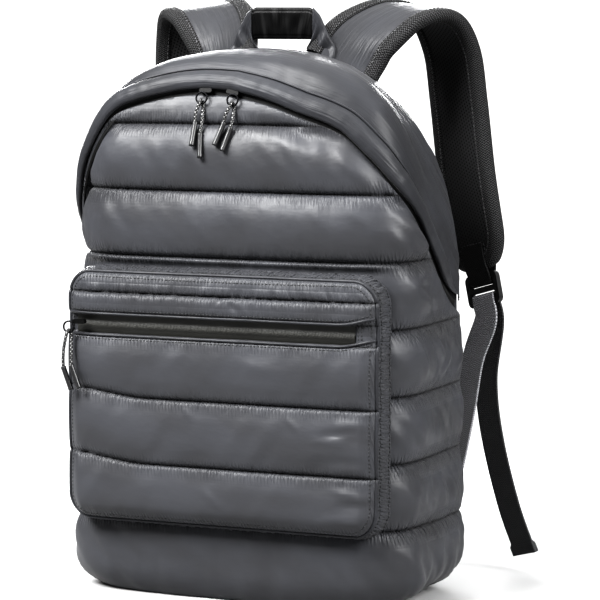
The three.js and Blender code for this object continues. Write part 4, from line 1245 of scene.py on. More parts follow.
def pocket_front(x, z):
    """How far forward the panel lies, its nearest seam's distance and the channel's share."""
    level = z - pocket_sag(x) * rise(z, 63.0, 100.0) * (1 - rise(z, 175.0, 212.0))
    i = np.clip(np.searchsorted(POCKET_SEAMS, level) - 1, 0, len(POCKET_PUFFS) - 1)
    low, high = POCKET_SEAMS[i], POCKET_SEAMS[i + 1]
    share = np.clip((level - low) / (high - low), 0, 1)
    profile = np.abs(np.sin(math.pi * (share + 0.03 * np.sin(math.tau * share)))) ** 0.6
    seam = np.where(share < 0.5, i, i + 1)
    away = np.where(share < 0.5, level - low, level - high)
    side = pocket_half_width(z, WALL_INSET) - np.abs(x)
    edge = np.minimum(side, np.minimum(z - POCKET_BOTTOM - WALL_INSET, POCKET_TOP - WALL_INSET - z))
    rounding = np.sqrt(1 - (1 - np.clip(edge / 13.0, 0, 1)) ** 2)
    base = POCKET_DEPTH - 5.5 + 5.5 * rounding
    left_soft = 5.0 * rise(-x, 92.0, 136.0) ** 2
    near_edge = rise(edge, 0.0, 12.0)
    at_edge = 0.45 + 0.75 * rise(50.0 - edge, 0.0, 50.0)
    strength = (0.5 + 1.1 * soft_noise(x / 30.0, seam * 3.3, 51)) * at_edge
    top_band = rise(z, 238.0, 250.0)
    strength = strength * (1.1 + 0.9 * top_band)
    folds = gathers(x, away, seam + 9, strength, cell=2.9, reach=7.0 + 2.0 * top_band)
    lazy = (soft_noise(x / 26.0, z / 60.0, 52) - 0.5) * 1.3
    slant = (soft_noise((x - z * 0.7) / 12.0, (z + x * 0.3) / 45.0, 53) - 0.5) * 0.9
    right = rise(x, 60.0, 130.0)
    pulled = (soft_noise(x / 34.0, z / 6.0, 54) - 0.5) * 2.0 * right * rise(200.0 - z, 0.0, 60.0)
    swell = POCKET_PUFFS[i] * 1.2 * profile * (0.35 + 0.65 * near_edge)
    in_slot = rise(z, 213.3, 214.3) * (1 - rise(z, 228.5, 229.5))
    past_slot = rise(x, ZIP_RIGHT_END, ZIP_RIGHT_END + 1.5)
    along_slot = rise(x, ZIP_LEFT_END - 3, ZIP_LEFT_END) * (1 - past_slot)
    sunk = in_slot * (0.9 + 2.6 * along_slot)
    groove = 1.4 * np.exp(-(np.abs(away) / 1.3) ** 1.4) * (1 - 0.6 * in_slot)
    middle = np.clip(profile, 0, 1)
    total = base + swell + folds * near_edge + (lazy + slant + pulled) * middle * near_edge
    total = total + creases(x, z, POCKET_FOLDS) * middle - sunk - groove - left_soft
    return total, away, edge


POCKET_FOLDS = [
    (92, 143, 118, 147, 2.2, -1.3), (84, 138, 112, 139, 2.6, 1.0), (98, 100, 128, 95, 2.6, 1.1),
    (104, 88, 130, 90, 2.0, -1.2), (96, 78, 126, 80, 2.6, 1.1), (104, 70, 124, 71, 2.0, -0.9),
    (20, 196, 60, 190, 5.0, 0.8), (-10, 92, 6, 80, 3.0, 0.8), (60, 156, 72, 146, 2.4, 0.9),
    (10, 244, 18, 236, 1.6, -0.9), (16, 246, 26, 236, 1.6, 0.8), (-28, 158, -20, 150, 2.4, 0.8),
]
print("pocket seams at", POCKET_SEAMS.tolist())

# %% The quilted front panel
dense = [np.linspace(a, b, n + 1)[:-1] - 0.55 * (b - a) / math.tau * np.sin(math.tau * np.arange(n) / n)
         for a, b, n in zip(POCKET_SEAMS[:-1], POCKET_SEAMS[1:], (26, 30, 30, 14, 14, 10))]
pocket_z = np.concatenate([*dense, POCKET_SEAMS[-1:]])
pocket_f = np.linspace(-1, 1, 169)
zz, ff = np.meshgrid(pocket_z, pocket_f, indexing="ij")
xx = ff * pocket_half_width(zz, WALL_INSET)
forward, away, edge = pocket_front(xx, zz)
panel_points = np.stack([xx, -forward, zz], axis=-1)
panel_pinch = np.maximum(np.clip(1 - np.abs(away) / 12.0, 0, 1), 0.8 * np.clip(1 - edge / 9.0, 0, 1))
pocket_panel = build_piece("pocket_panel", panel_points, grid_quads(*zz.shape), np.stack([xx, zz], axis=-1),
                           {"pinch": panel_pinch, "ruck": 0.55 * panel_pinch ** 2})
hand_over(pocket_panel, quilted_nylon, "quilted_nylon", "pocket_shell", padded=0.7)


# %% The outline of the pocket
def pocket_loop(inset, step=0.9):
    """A rounded rectangle round the pocket, as (x, z), starting at the bottom middle."""
    corner = POCKET_CORNER - inset
    half = POCKET_WIDTH / 2 - inset
    low, high = POCKET_BOTTOM + inset, POCKET_TOP - inset
    arc = np.linspace(0, math.pi / 2, 17)
    points = [(0.0, low)]
    for cx, cz, start in ((half - corner, low + corner, -90), (half - corner, high - corner, 0),
                          (-half + corner, high - corner, 90), (-half + corner, low + corner, 180)):
        turned = arc + math.radians(start)
        points.extend(zip(cx + corner * np.cos(turned), cz + corner * np.sin(turned)))
    points.append((0.0, low))
    loop = np.array(points)
    count = int(path_lengths(loop)[-1] / step)
    return even_path(loop, path_lengths(loop)[-1] / count)[:-1]


loop_inner = pocket_loop(WALL_INSET)
loop_count = len(loop_inner)
loop_outer = pocket_loop(0.0)
stretch = path_lengths(loop_outer)
once_round = stretch[-1] + np.linalg.norm(loop_outer[0] - loop_outer[-1])
loop_outer = read_along(np.linspace(0, once_round, loop_count + 1)[:-1], stretch, loop_outer)
inner_front = pocket_front(loop_inner[:, 0], np.clip(loop_inner[:, 1], 63.01, 262.99))[0]
loop_u = np.arange(loop_count) * 0.9
print("pocket edge", loop_count, "steps round")

# %% The ruched wall
WALL_COUNT = 17
WALL_LENGTH = 18.0
wall_share = np.linspace(0, 1, WALL_COUNT)
outer_y = front_plane(loop_outer[:, 1]) + 5.0
start = np.column_stack([loop_inner[:, 0], -inner_front, loop_inner[:, 1]])
finish = np.column_stack([loop_outer[:, 0], outer_y, loop_outer[:, 1]])
wall = start[:, None] * (1 - wall_share[None, :, None]) + finish[:, None] * wall_share[None, :, None]
outward_way = unit(np.column_stack([loop_outer[:, 0] - loop_inner[:, 0], np.zeros(loop_count),
                                    loop_outer[:, 1] - loop_inner[:, 1]]))
bulge = np.sin(math.pi * wall_share) ** 0.6 * 2.0
pucker = (soft_noise(loop_u[:, None] / 2.1, wall_share[None] * 1.2, 61) - 0.5) * 2.0
pucker = pucker + (soft_noise(loop_u[:, None] / 1.3, wall_share[None] * 2.0, 62) - 0.5) * 0.8
sewn = np.exp(-((wall_share - 0.2) / 0.06) ** 2) + np.exp(-((wall_share - 0.8) / 0.06) ** 2)
wall_lift = bulge[None] * (1 - 0.4 * sewn[None]) + pucker * np.sin(math.pi * wall_share)[None] ** 0.5
wall = wall + outward_way[:, None] * wall_lift[..., None]
wall_cloth = np.stack(np.broadcast_arrays(loop_u[:, None], wall_share[None] * WALL_LENGTH), axis=-1)
pocket_wall = build_piece("pocket_wall", wall, grid_quads(*wall.shape[:2], round_rows=True), wall_cloth,
                          {"pinch": np.broadcast_to(0.35 + 0.57 * sewn, wall.shape[:2]),
                           "ruck": np.full(wall.shape[:2], 0.8)})
hand_over(pocket_wall, quilted_nylon, "quilted_nylon")


def closed_tube(name, loop, radius, sides=8):
    """A round tube along a loop that closes on itself."""
    frames = path_frames(loop, np.array([0.0, 1.0, 0.0]), closed=True)
    rings = outline_rings(loop, frames, circle(radius, sides))
    steps = np.linalg.norm(np.roll(loop, -1, axis=0) - loop, axis=1)
    cloth = np.stack(np.broadcast_arrays(np.cumsum(steps)[:, None], np.arange(sides)[None] * 0.8), axis=-1)
    return build_piece(name, rings, grid_quads(len(loop), sides, True, True)[:, ::-1], cloth)


piping_loop = start + outward_way * 0.4 + np.array([0, -0.5, 0])
edge_piping = closed_tube("pocket_edge_piping", piping_loop, 1.55)
hand_over(edge_piping, smooth_nylon, "quilted_nylon", "pocket_piping")

# %% [markdown]
# The pocket's zip: a tape with a shiny skin, sunk behind the panel, a hatched coil under it,
# and two rolled lips of nylon, one above and one below. At the right the tape stops short
# under a small tab of cloth.

# %% The pocket zip
def lip_path(z, x_from, x_to, count=220):
    x = np.linspace(x_from, x_to, count)
    lifted = z + 5.5 * rise(x, 98.0, 137.0) ** 1.5
    away_from_seam = np.where(z > ZIP_MIDDLE, lifted + 1.6, lifted - 1.6)
    depth = pocket_front(x, away_from_seam)[0]
    return np.column_stack([x, -depth + 0.2, lifted])


for word, level, _ in LIPS:
    lip = sweep_piece(f"zip_lip_{word}", lip_path(level, -133.0, 133.0), circle(1.25, 10))
    hand_over(lip, smooth_nylon, "smooth_nylon")
tape_x = np.linspace(ZIP_LEFT_END + 0.5, ZIP_RIGHT_END - 0.5, 420)
tape_up = np.linspace(-7.6, 7.6, 25)
crest = np.exp(-((tape_up + 1.2) / 2.4) ** 2)
tooth = 0.18 * np.sin(tape_x[:, None] * math.tau / 1.25) * crest[None] ** 2
plane = pocket_front(tape_x, np.full_like(tape_x, ZIP_MIDDLE))[0]
tape_y = -(plane[:, None] + 0.9 + 0.9 * crest[None] + tooth)
tape_points = np.stack(np.broadcast_arrays(tape_x[:, None], tape_y, ZIP_MIDDLE + tape_up[None]), axis=-1)
tape_cloth = np.stack(np.broadcast_arrays(tape_x[:, None], tape_up[None]), axis=-1)
pocket_tape = build_piece("pocket_zip", tape_points, grid_quads(*tape_y.shape)[:, ::-1], tape_cloth,
                          {"coil": np.broadcast_to(crest, tape_points.shape[:2])})
hand_over(pocket_tape, zip_skin, "zip_cloth", "pocket_zip_tape")

# %% [markdown]
# A shoulder strap is a foam pad with satin nylon on its outer face and spacer mesh on the
# face that lies on the wearer. A knitted tape is folded over the raw edges of both and
# sewn down all round. The three are made as separate sheets along one middle line.

# %% The strap's middle line
STRAP_WIDTH = 58.0
STRAP_HALF_THICKNESS = 5.0
STRAP_ROWS = [(0.34, 0.5, 0.962), (0.37, 0.66, 0.992), (0.44, 0.86, 1.03), (0.59, 1.18, 1.066),
              (0.73, 1.48, 1.06), (0.8, 1.7, 1.0), (0.83, 1.8, 0.9), (0.88, 1.8, 0.76),
              (0.95, 1.73, 0.64), (0.985, 1.69, 0.59)]
STRAP_ACROSS = [(0.88, 0.15, -0.48), (0.88, 0.1, -0.46), (0.9, -0.16, -0.4), (0.91, -0.36, -0.2),
                (0.91, -0.4, -0.1), *[(0.9, -0.43, 0)] * 5]
LOWER_WEB_ROWS = [(0.83, 1.27, 0.13), (0.87, 1.42, 0.2), (0.92, 1.57, 0.32), (0.96, 1.63, 0.42)]
TAIL_ROWS = [(1.01, 1.78, 0.38), (1.05, 1.84, 0.25), (1.13, 1.91, 0.128), (1.23, 1.97, 0.036)]
SHARES = np.array([BODY_WIDTH / 2, PANEL_DEPTH, BODY_HEIGHT])


def mirrored(rows, side):
    return np.asarray(rows, float) * np.array([side, 1, 1])


def strap_line(side):
    """The pad's middle line, its way, its width's way, the nylon side's way, half widths."""
    joined = np.hstack([mirrored(STRAP_ROWS, side) * SHARES, mirrored(STRAP_ACROSS, side) * 100])
    both = smooth_path(joined, 2.2)
    path, across = both[:, :3], both[:, 3:]
    way, wide, thick = path_frames(path, across)
    thick = thick * math.copysign(1.0, float(thick[-1, 1]))
    along = path_lengths(path)
    from_end = np.clip((along[-1] - along) / (STRAP_WIDTH * 0.5), 0, 1)
    half = STRAP_WIDTH / 2 * (0.42 + 0.58 * np.sqrt(1 - (1 - from_end) ** 2))
    return path, way, wide, thick, along, half


print("strap line", round(float(strap_line(1)[4][-1])), "mm long")

# %% Pad faces and bound edges
BINDING_OUTLINE = np.array([(-9.5, 5.7), (-6.5, 6.1), (-3.0, 6.0), (0.0, 5.2), (2.0, 3.4), (2.9, 1.2),
                            (2.9, -1.2), (2.0, -3.4), (0.0, -5.2), (-3.0, -6.0), (-6.5, -6.1), (-9.5, -5.7),
                            (-9.6, -4.9), (-3.0, -4.9), (0.6, -2.0), (0.6, 2.0), (-3.0, 4.9), (-9.6, 4.9)])


FACE_COLUMNS = 45
EDGE_FROM = 2


def strap_face(name, side, sign, inset, crown, roughly):
    """One face of the pad. A sign of 1 is the nylon's face and -1 the wearer's."""
    path, way, wide, thick, along, half = strap_line(side)
    a = np.linspace(-1, 1, FACE_COLUMNS)
    reach = a[None] * (half[:, None] - inset)
    fall = 1 - a[None] ** 4
    lift = STRAP_HALF_THICKNESS - 0.4 + crown * fall
    uu = np.broadcast_to(along[:, None], reach.shape)
    pucker = (soft_noise(uu / 2.6, a[None] * 1.3 + 3 * side, 71) - 0.5) * roughly * np.abs(a[None]) ** 3
    drape = (soft_noise(uu / 30.0, a[None] * 1.5 + 9 * side, 72) - 0.5) * roughly
    lift = lift + pucker + drape * fall
    points = path[:, None] + wide[:, None] * reach[..., None] + (sign * thick)[:, None] * lift[..., None]
    cloth = np.stack([uu, reach], axis=-1)
    quads = grid_quads(*reach.shape)
    flip = sign * side * (1 if np.dot(np.cross(way[0], wide[0]), thick[0]) * side > 0 else -1)
    return build_piece(name, points, quads[:, ::-1] if flip > 0 else quads, cloth,
                       {"pinch": np.broadcast_to(np.abs(a[None]) ** 3 * 0.8, reach.shape)})


def strap_edge_line(side):
    """The tape's line, down one edge of the pad, round its end and up the other, with its way
    along, its way outward and its way through the pad."""
    path, way, wide, thick, _, half = strap_line(side)
    path, way, wide, thick, half = (value[EDGE_FROM:] for value in (path, way, wide, thick, half))
    reach = wide * half[:, None]
    end = [path[-1] + way[-1] * 1.5 + wide[-1] * s * half[-1] for s in (-0.6, 0.0, 0.6)]
    loop = np.vstack([path - reach, end, (path + reach)[::-1]])
    middles = np.vstack([path, [path[-1]] * 3, path[::-1]])
    normals = np.vstack([thick, [thick[-1]] * 3, thick[::-1]])
    joined = even_path(np.hstack([loop, middles, normals * 50]), 3.0)
    loop, middles, normals = joined[:, :3], joined[:, 3:6], unit(joined[:, 6:])
    along = path_ways(loop)
    out = unit(np.cross(along, normals))
    if np.mean(np.sum(out * (loop - middles), axis=1)) < 0:
        out = -out
    return loop, along, out, normals


for word, side in SIDES:
    nylon_face = strap_face(f"strap_nylon_{word}", side, 1, 6.0, 0.9, 0.7)
    hand_over(nylon_face, smooth_nylon, "smooth_nylon")
    mesh_face = strap_face(f"strap_mesh_{word}", side, -1, 6.0, 0.9, 0.35)
    hand_over(mesh_face, air_mesh, "air_mesh", f"strap_pad_{word}", padded=0.6)
    loop, *frames = strap_edge_line(side)
    edge_piece = sweep_piece(f"strap_edge_{word}", loop, BINDING_OUTLINE, frames=frames, caps=False)
    hand_over(edge_piece, binding_knit, "black_webbing", f"strap_binding_{word}")

# %% [markdown]
# Webbing is a woven band, flat and springy. The lower one is sewn into the bag's corner,
# runs up to the ladder lock, turns over its lower bar and hangs down as a free tail, whose
# end is folded and sewn so that it can't slip out.

# %% Bands of webbing
WEB_WIDTH = 25.0
WEB_THICKNESS = 1.8
LOCK_HEIGHT = 27.0
LOCK_BAR = 4.5
LOCK_THICKNESS = 4.5


def web_outline(width, thickness, count=25):
    """A flat band with rounded edges and shallow ribs along it, as (across, out)."""
    across = np.linspace(-width / 2 + 0.5, width / 2 - 0.5, count)
    out = thickness / 2 + 0.06 * np.cos(across * math.tau / 2.0)
    upper = np.column_stack([across, out])
    edge = np.array([(width / 2, thickness * 0.22), (width / 2, -thickness * 0.22)])
    lower = np.column_stack([across[::-1], -out[::-1]])
    return np.vstack([upper, edge, lower, -edge])


def web_piece(name, path, across, tail=None, outer=None):
    """A band along a path, its last `tail` millimetres folded double. Its cloth map counts
    across the band, and `outer` is stored for the finish: 1 where the band is painted lit, 0 where painted
    shaded."""
    along = path_lengths(path)
    scale = np.ones((len(path), 2))
    if tail:
        doubled = 1 - rise(along[-1] - along, tail - 1.0, tail + 1.0)
        scale = np.column_stack([1 + 0.07 * doubled, 1 + 1.7 * doubled])
    outline = web_outline(WEB_WIDTH, WEB_THICKNESS) * scale[:, None]
    points, along = capped(outline_rings(path, path_frames(path, across), outline), path, along)
    aside = np.concatenate([outline[:1, :, 0], outline[..., 0], outline[-1:, :, 0]])
    cloth = np.stack([np.broadcast_to(along[:, None], aside.shape), aside], axis=-1)
    painted = None
    if outer is not None:
        shown = np.concatenate([outer[:1], outer, outer[-1:]])
        painted = {"outer": np.broadcast_to(shown[:, None], aside.shape)}
    return build_piece(name, points, grid_quads(*aside.shape, round_columns=True)[:, ::-1], cloth, painted)


def lock_place(side):
    """The lock's middle, down, across and away from the wearer."""
    path, way, wide, thick, _, _ = strap_line(side)
    return path[-1] + way[-1] * (6.0 + LOCK_HEIGHT / 2), way[-1], wide[-1], thick[-1]


def in_lock(side, places):
    """Points given as (down, away from the wearer), counted from the lock's middle."""
    middle, way, _, thick = lock_place(side)
    return [middle + way * down + thick * back for down, back in places]


LOCK_TURN = LOCK_HEIGHT / 2 - LOCK_BAR / 2
WEB_OFF = LOCK_THICKNESS / 2 + WEB_THICKNESS / 2 + 0.3
WEB_TURN = [(LOCK_TURN + 12, -WEB_OFF), (LOCK_TURN, -WEB_OFF), (4.9, -WEB_OFF * 0.8), (4.4, 0),
            (4.9, WEB_OFF * 0.8), (LOCK_TURN, WEB_OFF), (LOCK_TURN + 12, WEB_OFF + 1)]
TAB_OFF = LOCK_THICKNESS / 2 + WEB_THICKNESS / 2 + 0.4
TAB_SEWN = STRAP_HALF_THICKNESS + WEB_THICKNESS / 2 + 0.4
TAB_TURN = [(-LOCK_TURN - 26, -TAB_SEWN), (-LOCK_TURN - 14, -TAB_SEWN), (-LOCK_TURN - 6, -TAB_SEWN * 0.85),
            (-LOCK_TURN, -TAB_OFF), (-4.6, -TAB_OFF * 0.7), (-3.9, 0), (-4.6, TAB_OFF * 0.7),
            (-LOCK_TURN, TAB_OFF), (-LOCK_TURN - 6, TAB_SEWN * 0.85), (-LOCK_TURN - 14, TAB_SEWN),
            (-LOCK_TURN - 26, TAB_SEWN)]
for word, side in SIDES:
    across = lock_place(side)[2]
    lower_rows = mirrored(LOWER_WEB_ROWS, side) * SHARES
    into_corner = lower_rows[0] + unit(lower_rows[0] - lower_rows[1]) * 24
    tail_rows = mirrored(TAIL_ROWS, side) * SHARES
    points = np.vstack([into_corner, lower_rows, in_lock(side, WEB_TURN), tail_rows])
    web_line = centripetal_path(points, 1.3)
    along = path_lengths(web_line)
    web_line = web_line + across * (0.6 * np.sin(along / 19.0) * rise(along, 200, 260))[:, None]
    along = path_lengths(web_line)
    past_lock = along - along[np.argmax(web_line[:, 2])]
    # outer is 1 on the band before the lock, which gets the painted-light colours, and 0 on the tail past
    # it, which gets the painted-shade colours.
    outer = 1 - rise(past_lock, -3.0, 3.0)
    band = web_piece(f"adjuster_band_{word}", web_line, across, tail=9.0, outer=outer)
    hand_over(band, grey_webbing, "grey_webbing", f"adjuster_web_{word}")
    tab_piece = web_piece(f"lock_tab_{word}", centripetal_path(in_lock(side, TAB_TURN), 0.9), across)
    hand_over(tab_piece, black_webbing, "black_webbing", f"strap_tab_{word}")

# %% [markdown]
# Hard parts whose CAD shape is right keep it. A small rounded edge on each catches the
# light as a moulded or cast edge does.

# %% Locks, sliders and anchors from the CAD
def keep_node(name, material, edge_radius):
    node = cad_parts[name]
    node.data.materials.clear()
    node.data.materials.append(material)
    for polygon in node.data.polygons:
        polygon.use_smooth = True
    soft_edge = node.modifiers.new("soft_edge", "BEVEL")
    soft_edge.width = edge_radius * MM
    soft_edge.segments = 3
    soft_edge.limit_method = "ANGLE"
    soft_edge.angle_limit = math.radians(35)
    soft_edge.harden_normals = True
    return node


for word in ("left", "right"):
    keep_node(f"ladder_lock_{word}", black_plastic, 0.9)
    keep_node(f"main_slider_{word}", slider_painted_shade, 0.6)
    keep_node(f"web_anchor_{word}", seam_thread, 0.4)
keep_node("pocket_slider", slider_painted_shade, 0.6)
print("kept CAD nodes: locks, sliders, anchors")

# %% [markdown]
# The handle is a doubled band of nylon. Its grip is stitched flat into a narrower black
# band, and its two ends are twisted outward before they go into the seam, which wrinkles
# their grey facing.

# %% Handle
HANDLE_PLANE = float(panel_plane(BODY_HEIGHT)) + 2.0
HANDLE_HALF = 2.0
HANDLE_WIDTH = 25.0
GRIP_INNER = [(-26.0, 448), (26.0, 448)]
GRIP_OUTER = [(-29.0, 468), (-28.0, 472), (-24.0, 474), (24.0, 474), (28.0, 472), (29.0, 468)]
TWIST_INNER = [(27.4, 448), (24.5, 444), (21.5, 440), (21.5, 430), (21.5, 420)]
TWIST_OUTER = [(27.4, 474), (33.0, 468), (40.0, 455), (47.5, 440), (48.5, 420)]


def slab_piece(name, inner, outer, thick_at, wrinkle, rows=64, columns=28):
    """A flat cloth band between two lines (x, z), closed all round, with its faces wrinkled."""
    t = np.linspace(0, 1, rows)
    inner_line = even_along(inner, rows)
    outer_line = even_along(outer, rows)
    around = np.linspace(0, 1, 2 * columns, endpoint=False)
    across = np.where(around < 0.5, around * 2, 2 - around * 2)
    face = np.where(around < 0.5, -1.0, 1.0)
    edge = np.sqrt(np.clip(1 - np.abs(across * 2 - 1) ** 6, 0, 1))
    toward_outer = across[None, :, None]
    xz = inner_line[:, None] * (1 - toward_outer) + outer_line[:, None] * toward_outer
    depth = HANDLE_PLANE + face[None] * edge[None] * thick_at(t)[:, None]
    depth = depth + wrinkle(t[:, None], across[None], face[None])
    points = np.stack([xz[..., 0], depth, xz[..., 1]], axis=-1)
    first, last = (np.broadcast_to(points[i].mean(axis=0), points[:1].shape) for i in (0, -1))
    points = np.concatenate([first, points, last])
    along = np.concatenate([[0], t, [1]]) * path_lengths(outer_line)[-1]
    cloth = np.stack([np.broadcast_to(along[:, None], points.shape[:2]),
                      np.broadcast_to(across[None] * HANDLE_WIDTH, points.shape[:2])], axis=-1)
    return build_piece(name, points, grid_quads(*points.shape[:2], round_columns=True)[:, ::-1], cloth)


def even_along(line, count):
    """The line as that number of evenly spaced points."""
    line = np.asarray(line, float)
    lengths = path_lengths(line)
    return read_along(np.linspace(0, lengths[-1], count), lengths, line)


def grip_thickness(t):
    return HANDLE_HALF * (0.85 + 0.15 * np.sin(t * math.pi))


def grip_wrinkle(t, across, face):
    edge_sewn = -0.5 * face * (np.abs(np.abs(across * 2 - 1) - 0.78) < 0.05)
    return edge_sewn + (soft_noise(t * 7, across * 2, 81) - 0.5) * 0.9


def end_thickness(t):
    return HANDLE_HALF + 0.9 * rise(t, 0.3, 0.8)


def end_wrinkle(t, across, face):
    slant = t * 5.2 + across * 1.6
    twist = 1.5 * np.sin(slant * 3.1) * rise(t, 0.1, 0.35) * (1 - rise(t, 0.85, 1.0))
    return twist + (soft_noise(t * 9, across * 2.2, 83) - 0.5) * 2.0


grip = slab_piece("handle_band", GRIP_INNER, GRIP_OUTER, grip_thickness, grip_wrinkle)
hand_over(grip, black_satin, "black_webbing", "handle_grip")
for word, side in SIDES:
    inner, outer = (np.array(line) * (side, 1) for line in (TWIST_INNER, TWIST_OUTER))
    end_piece = slab_piece(f"handle_twist_{word}", inner, outer, end_thickness, end_wrinkle, rows=90)
    hand_over(end_piece, smooth_nylon, "smooth_nylon", f"handle_end_{word}")
print("handle at depth", round(HANDLE_PLANE, 1))

# %% [markdown]
# The panel that lies on the wearer's back isn't seen. It is a plain padded panel of spacer
# mesh, sewn down along its edge, with a bound seam around it.

# %% Back panel
BACK_DEPTH = 10.0
ROUND_COUNT = 320
RING_SHARES = np.concatenate([np.linspace(0, 0.9, 46), np.linspace(0.9, 1.0, 13)[1:]])
BACK_MIDDLE = BODY_HEIGHT * 0.47
edge = panel_outline(np.linspace(0, math.tau, ROUND_COUNT, endpoint=False), BACK_MIDDLE, 400.0, 40)
centre = np.array([0.0, float(panel_plane(BACK_MIDDLE)), BACK_MIDDLE])
edge = edge - unit(edge - centre) * 5.5
edge[:, 2] = np.maximum(edge[:, 2], 7.0)
shares = RING_SHARES[:, None, None]
flat_points = centre + (edge[None] - centre) * shares
swell = BACK_DEPTH * (1 - RING_SHARES[:, None] ** 7) * 0.92 + 0.3
uneven = (soft_noise(flat_points[..., 0] / 42, flat_points[..., 2] / 60, 91) - 0.5) * 1.6
swell = swell + uneven * (1 - shares[..., 0] ** 4)
sewn = np.exp(-((RING_SHARES[:, None] - 0.9) / 0.012) ** 2)
swell = swell - 3.2 * sewn
back_points = flat_points + np.array([0, 1.0, 0]) * swell[..., None]
around = np.broadcast_to(path_lengths(np.vstack([edge, edge[:1]]))[None, :-1], swell.shape)
back_cloth = np.stack([back_points[..., 0], back_points[..., 2]], axis=-1)
back_quads = grid_quads(*swell.shape, round_columns=True)[:, ::-1]
back_piece = build_piece("back_padding", back_points, back_quads, back_cloth,
                         {"pinch": np.broadcast_to(sewn, swell.shape)})
hand_over(back_piece, air_mesh, "air_mesh", "back_panel", padded=0.6)
closed_edge = edge + unit(edge - centre) * 0.5
seam_tape = closed_tube("back_seam_tape", closed_edge, 2.2)
hand_over(seam_tape, smooth_nylon, "smooth_nylon")

# %% [markdown]
# The stitches that show are small beads of thread, each a little sunk in the cloth: two
# rows round the ruched wall of the pocket, one beside each lip of its zip, rows across the
# end tab, one along each edge of the straps' binding, and bar tacks where the lock's tab is
# sewn to the strap.

# %% Rows of stitches
STITCH_LENGTH = 2.3
STITCH_PITCH = 3.1
STITCH_RADIUS = 0.42


def stitch_beads(name, rows, radius=STITCH_RADIUS, length=STITCH_LENGTH, pitch=STITCH_PITCH):
    """One mesh of all the beads. Each row is a path and the way out of the cloth along it."""
    points, faces = [], []
    sides = 5
    turn = np.arange(sides) * math.tau / sides
    count = 0
    for path, out in rows:
        lengths = path_lengths(path)
        places = np.arange(pitch / 2, lengths[-1] - pitch / 2, pitch)
        middle = read_along(places, lengths, path)
        way = unit(read_along(places + length / 2, lengths, path) - middle)
        up = unit(read_along(places, lengths, out))
        side = unit(np.cross(way, up))
        ring = side[:, None] * np.cos(turn)[None, :, None] + up[:, None] * np.sin(turn)[None, :, None]
        first = middle[:, None] - way[:, None] * length * 0.28 + ring * radius
        second = middle[:, None] + way[:, None] * length * 0.28 + ring * radius
        tip_a = middle - way * length / 2 - up * radius * 0.6
        tip_b = middle + way * length / 2 - up * radius * 0.6
        bead = np.concatenate([tip_a[:, None], first, second, tip_b[:, None]], axis=1)
        points.append(bead.reshape(-1, 3))
        for k in range(len(places)):
            tip = (count + k) * (2 * sides + 2)
            for j in range(sides):
                here, after = tip + 1 + j, tip + 1 + (j + 1) % sides
                faces.append((tip, after, here))
                faces.append((here, after, after + sides, here + sides))
                faces.append((here + sides, after + sides, tip + 1 + 2 * sides))
        count += len(places)
    return bead_mesh(name, np.concatenate(points), faces)


def bead_mesh(name, points, faces):
    """One smooth piece without a cloth map."""
    mesh = bpy.data.meshes.new(name)
    mesh.from_pydata([tuple(p) for p in to_frame(points)], [], faces)
    mesh.validate()
    piece = bpy.data.objects.new(name, mesh)
    bpy.context.scene.collection.objects.link(piece)
    for polygon in mesh.polygons:
        polygon.use_smooth = True
    return piece


BAR_TACKS = ((7, 19, (-14, 14)), (7, 19, (14, -14)), (7, 7, (-14, 14)), (19, 19, (-14, 14)),
             (7, 19, (-14, -14)), (7, 19, (14, 14)), (10, 10, (-13, 13)), (16, 16, (-13, 13)))
pocket_rows = [(wall[:, column] + outward_way * 0.35, outward_way) for column in (3, 13)]
lip_out = np.array([0.0, -1.0, 0.0])
for _, level, shift in LIPS:
    line = lip_path(level, -131.0, 131.0)
    line[:, 2] += shift
    line[:, 1] = -pocket_front(line[:, 0], line[:, 2])[0] - 0.15
    pocket_rows.append((line, np.broadcast_to(lip_out, line.shape)))
for x in (119.5, 122.5):
    rows_z = np.linspace(214.5, 230.5, 24)
    line = np.column_stack([np.full(24, x), -pocket_front(np.full(24, x), rows_z)[0] - 0.1, rows_z])
    pocket_rows.append((line, np.broadcast_to(lip_out, line.shape)))
edge_row = start - outward_way * 4.2
edge_z = np.clip(edge_row[:, 2], 63.01, 262.99)
edge_row = np.column_stack([edge_row[:, 0], -pocket_front(edge_row[:, 0], edge_z)[0] - 0.1, edge_z])
pocket_rows.append((edge_row, np.broadcast_to(lip_out, edge_row.shape)))
pocket_stitches = stitch_beads("pocket_stitches", pocket_rows)
hand_over(pocket_stitches, seam_thread, "quilted_nylon")

strap_rows = []
for _, side in SIDES:
    loop, _, out, normals = strap_edge_line(side)
    for face in (1, -1):
        strap_rows.append((loop - out * 7.6 + normals * (face * 6.25), normals * face))
    path, _, wide, thick, along, _ = strap_line(side)
    for near, far, (aside_from, aside_to) in BAR_TACKS:
        share = np.linspace(0, 1, 24)
        where = along[-1] - (near + (far - near) * share)
        aside = aside_from + (aside_to - aside_from) * share
        middle, over, through = (read_along(where, along, value) for value in (path, wide, thick))
        for face in (1, -1):
            line = middle + over * aside[:, None] + through * (face * 5.75)
            strap_rows.append((line, through * face))
strap_stitches = stitch_beads("strap_stitches", strap_rows, pitch=3.6, length=2.6)
hand_over(strap_stitches, binding_thread, "black_webbing")
print("stitches:", triangles(pocket_stitches), triangles(strap_stitches))

# %% [markdown]
# The studio: a pale floor under four soft lamps, of which the strongest stands high on the
# left. The world is white to the camera, as in a catalogue photograph, and dimmer for the
# light that it gives.

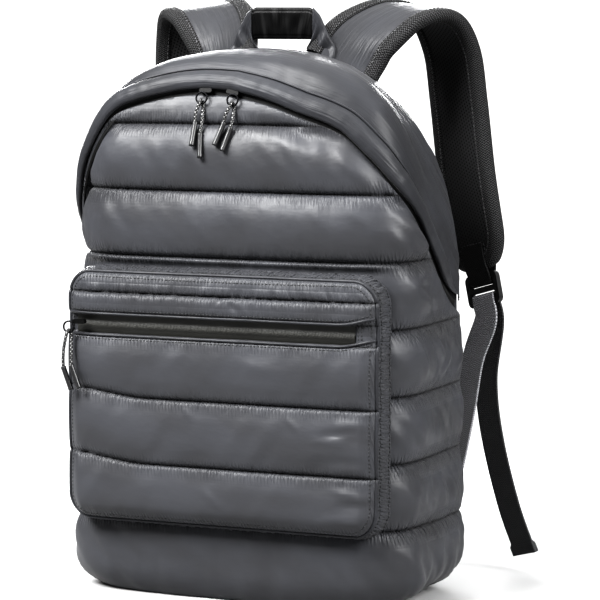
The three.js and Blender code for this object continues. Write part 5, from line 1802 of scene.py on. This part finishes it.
# %% Floor and light
def soft_lamp(name, place, aim, size, power):
    data = bpy.data.lights.new(name, "AREA")
    data.shape = "RECTANGLE"
    data.size, data.size_y = size
    data.energy = power
    lamp = bpy.data.objects.new(name, data)
    bpy.context.scene.collection.objects.link(lamp)
    lamp.location = place
    lamp.rotation_mode = "QUATERNION"
    lamp.rotation_quaternion = (Vector(aim) - Vector(place)).to_track_quat("-Z", "Y")


LAMPS = [("lamp_left", (-1.1, -1.5, 2.15), (0, 0, 0.2), (1.5, 1.2), 250),
         ("lamp_right", (1.9, -0.6, 1.3), (0, 0, 0.25), (0.9, 1.2), 85),
         ("lamp_top", (0.1, 0.3, 2.1), (0, 0.1, 0.1), (2.4, 1.8), 28),
         ("lamp_back", (-1.1, 2.3, 1.0), (0, 0, 0.25), (1.6, 1.2), 110)]
for lamp in LAMPS:
    soft_lamp(*lamp)
bpy.context.scene.view_settings.view_transform = "Standard"
bpy.context.scene.view_settings.look = "High Contrast"

# %% A world that is bright overhead and dimmer low down, and white behind the bag
world = bpy.data.worlds.new("studio_world")
world.use_nodes = True
tree = world.node_tree
background = tree.nodes["Background"]
start = Socket(tree, None)
direction = start.node("ShaderNodeTexCoord", output=0)
height = direction.node("ShaderNodeSeparateXYZ", output=2, i0=direction)
overhead = height.above(-0.1, 0.9).mix((0.05, 0.05, 0.05), (0.55, 0.55, 0.55))
seen = start.node("ShaderNodeLightPath", output=0)
start.fill(background.inputs[0], seen.mix(overhead, (1.0, 1.0, 1.0)))
background.inputs[1].default_value = 1.0
bpy.context.scene.world = world

floor_mesh = bpy.data.meshes.new("studio_floor")
FLOOR_CORNERS = ((-1.1, -1.3), (1.2, -1.3), (1.2, 0.8), (-1.1, 0.8))
FLOOR_LEVEL = -0.0005
floor_mesh.from_pydata([(x, y, FLOOR_LEVEL) for x, y in FLOOR_CORNERS], [], [(0, 1, 2, 3)])
floor = bpy.data.objects.new("studio_floor", floor_mesh)
bpy.context.scene.collection.objects.link(floor)
floor_finish = bpy.data.materials.new("studio_floor")
floor_finish.use_nodes = True
floor_inputs = floor_finish.node_tree.nodes["Principled BSDF"].inputs
floor_inputs["Base Color"].default_value = (0.27, 0.27, 0.27, 1)
floor_inputs["Roughness"].default_value = 0.9
floor.data.materials.append(floor_finish)
print("lamps:", len(bpy.data.lights))
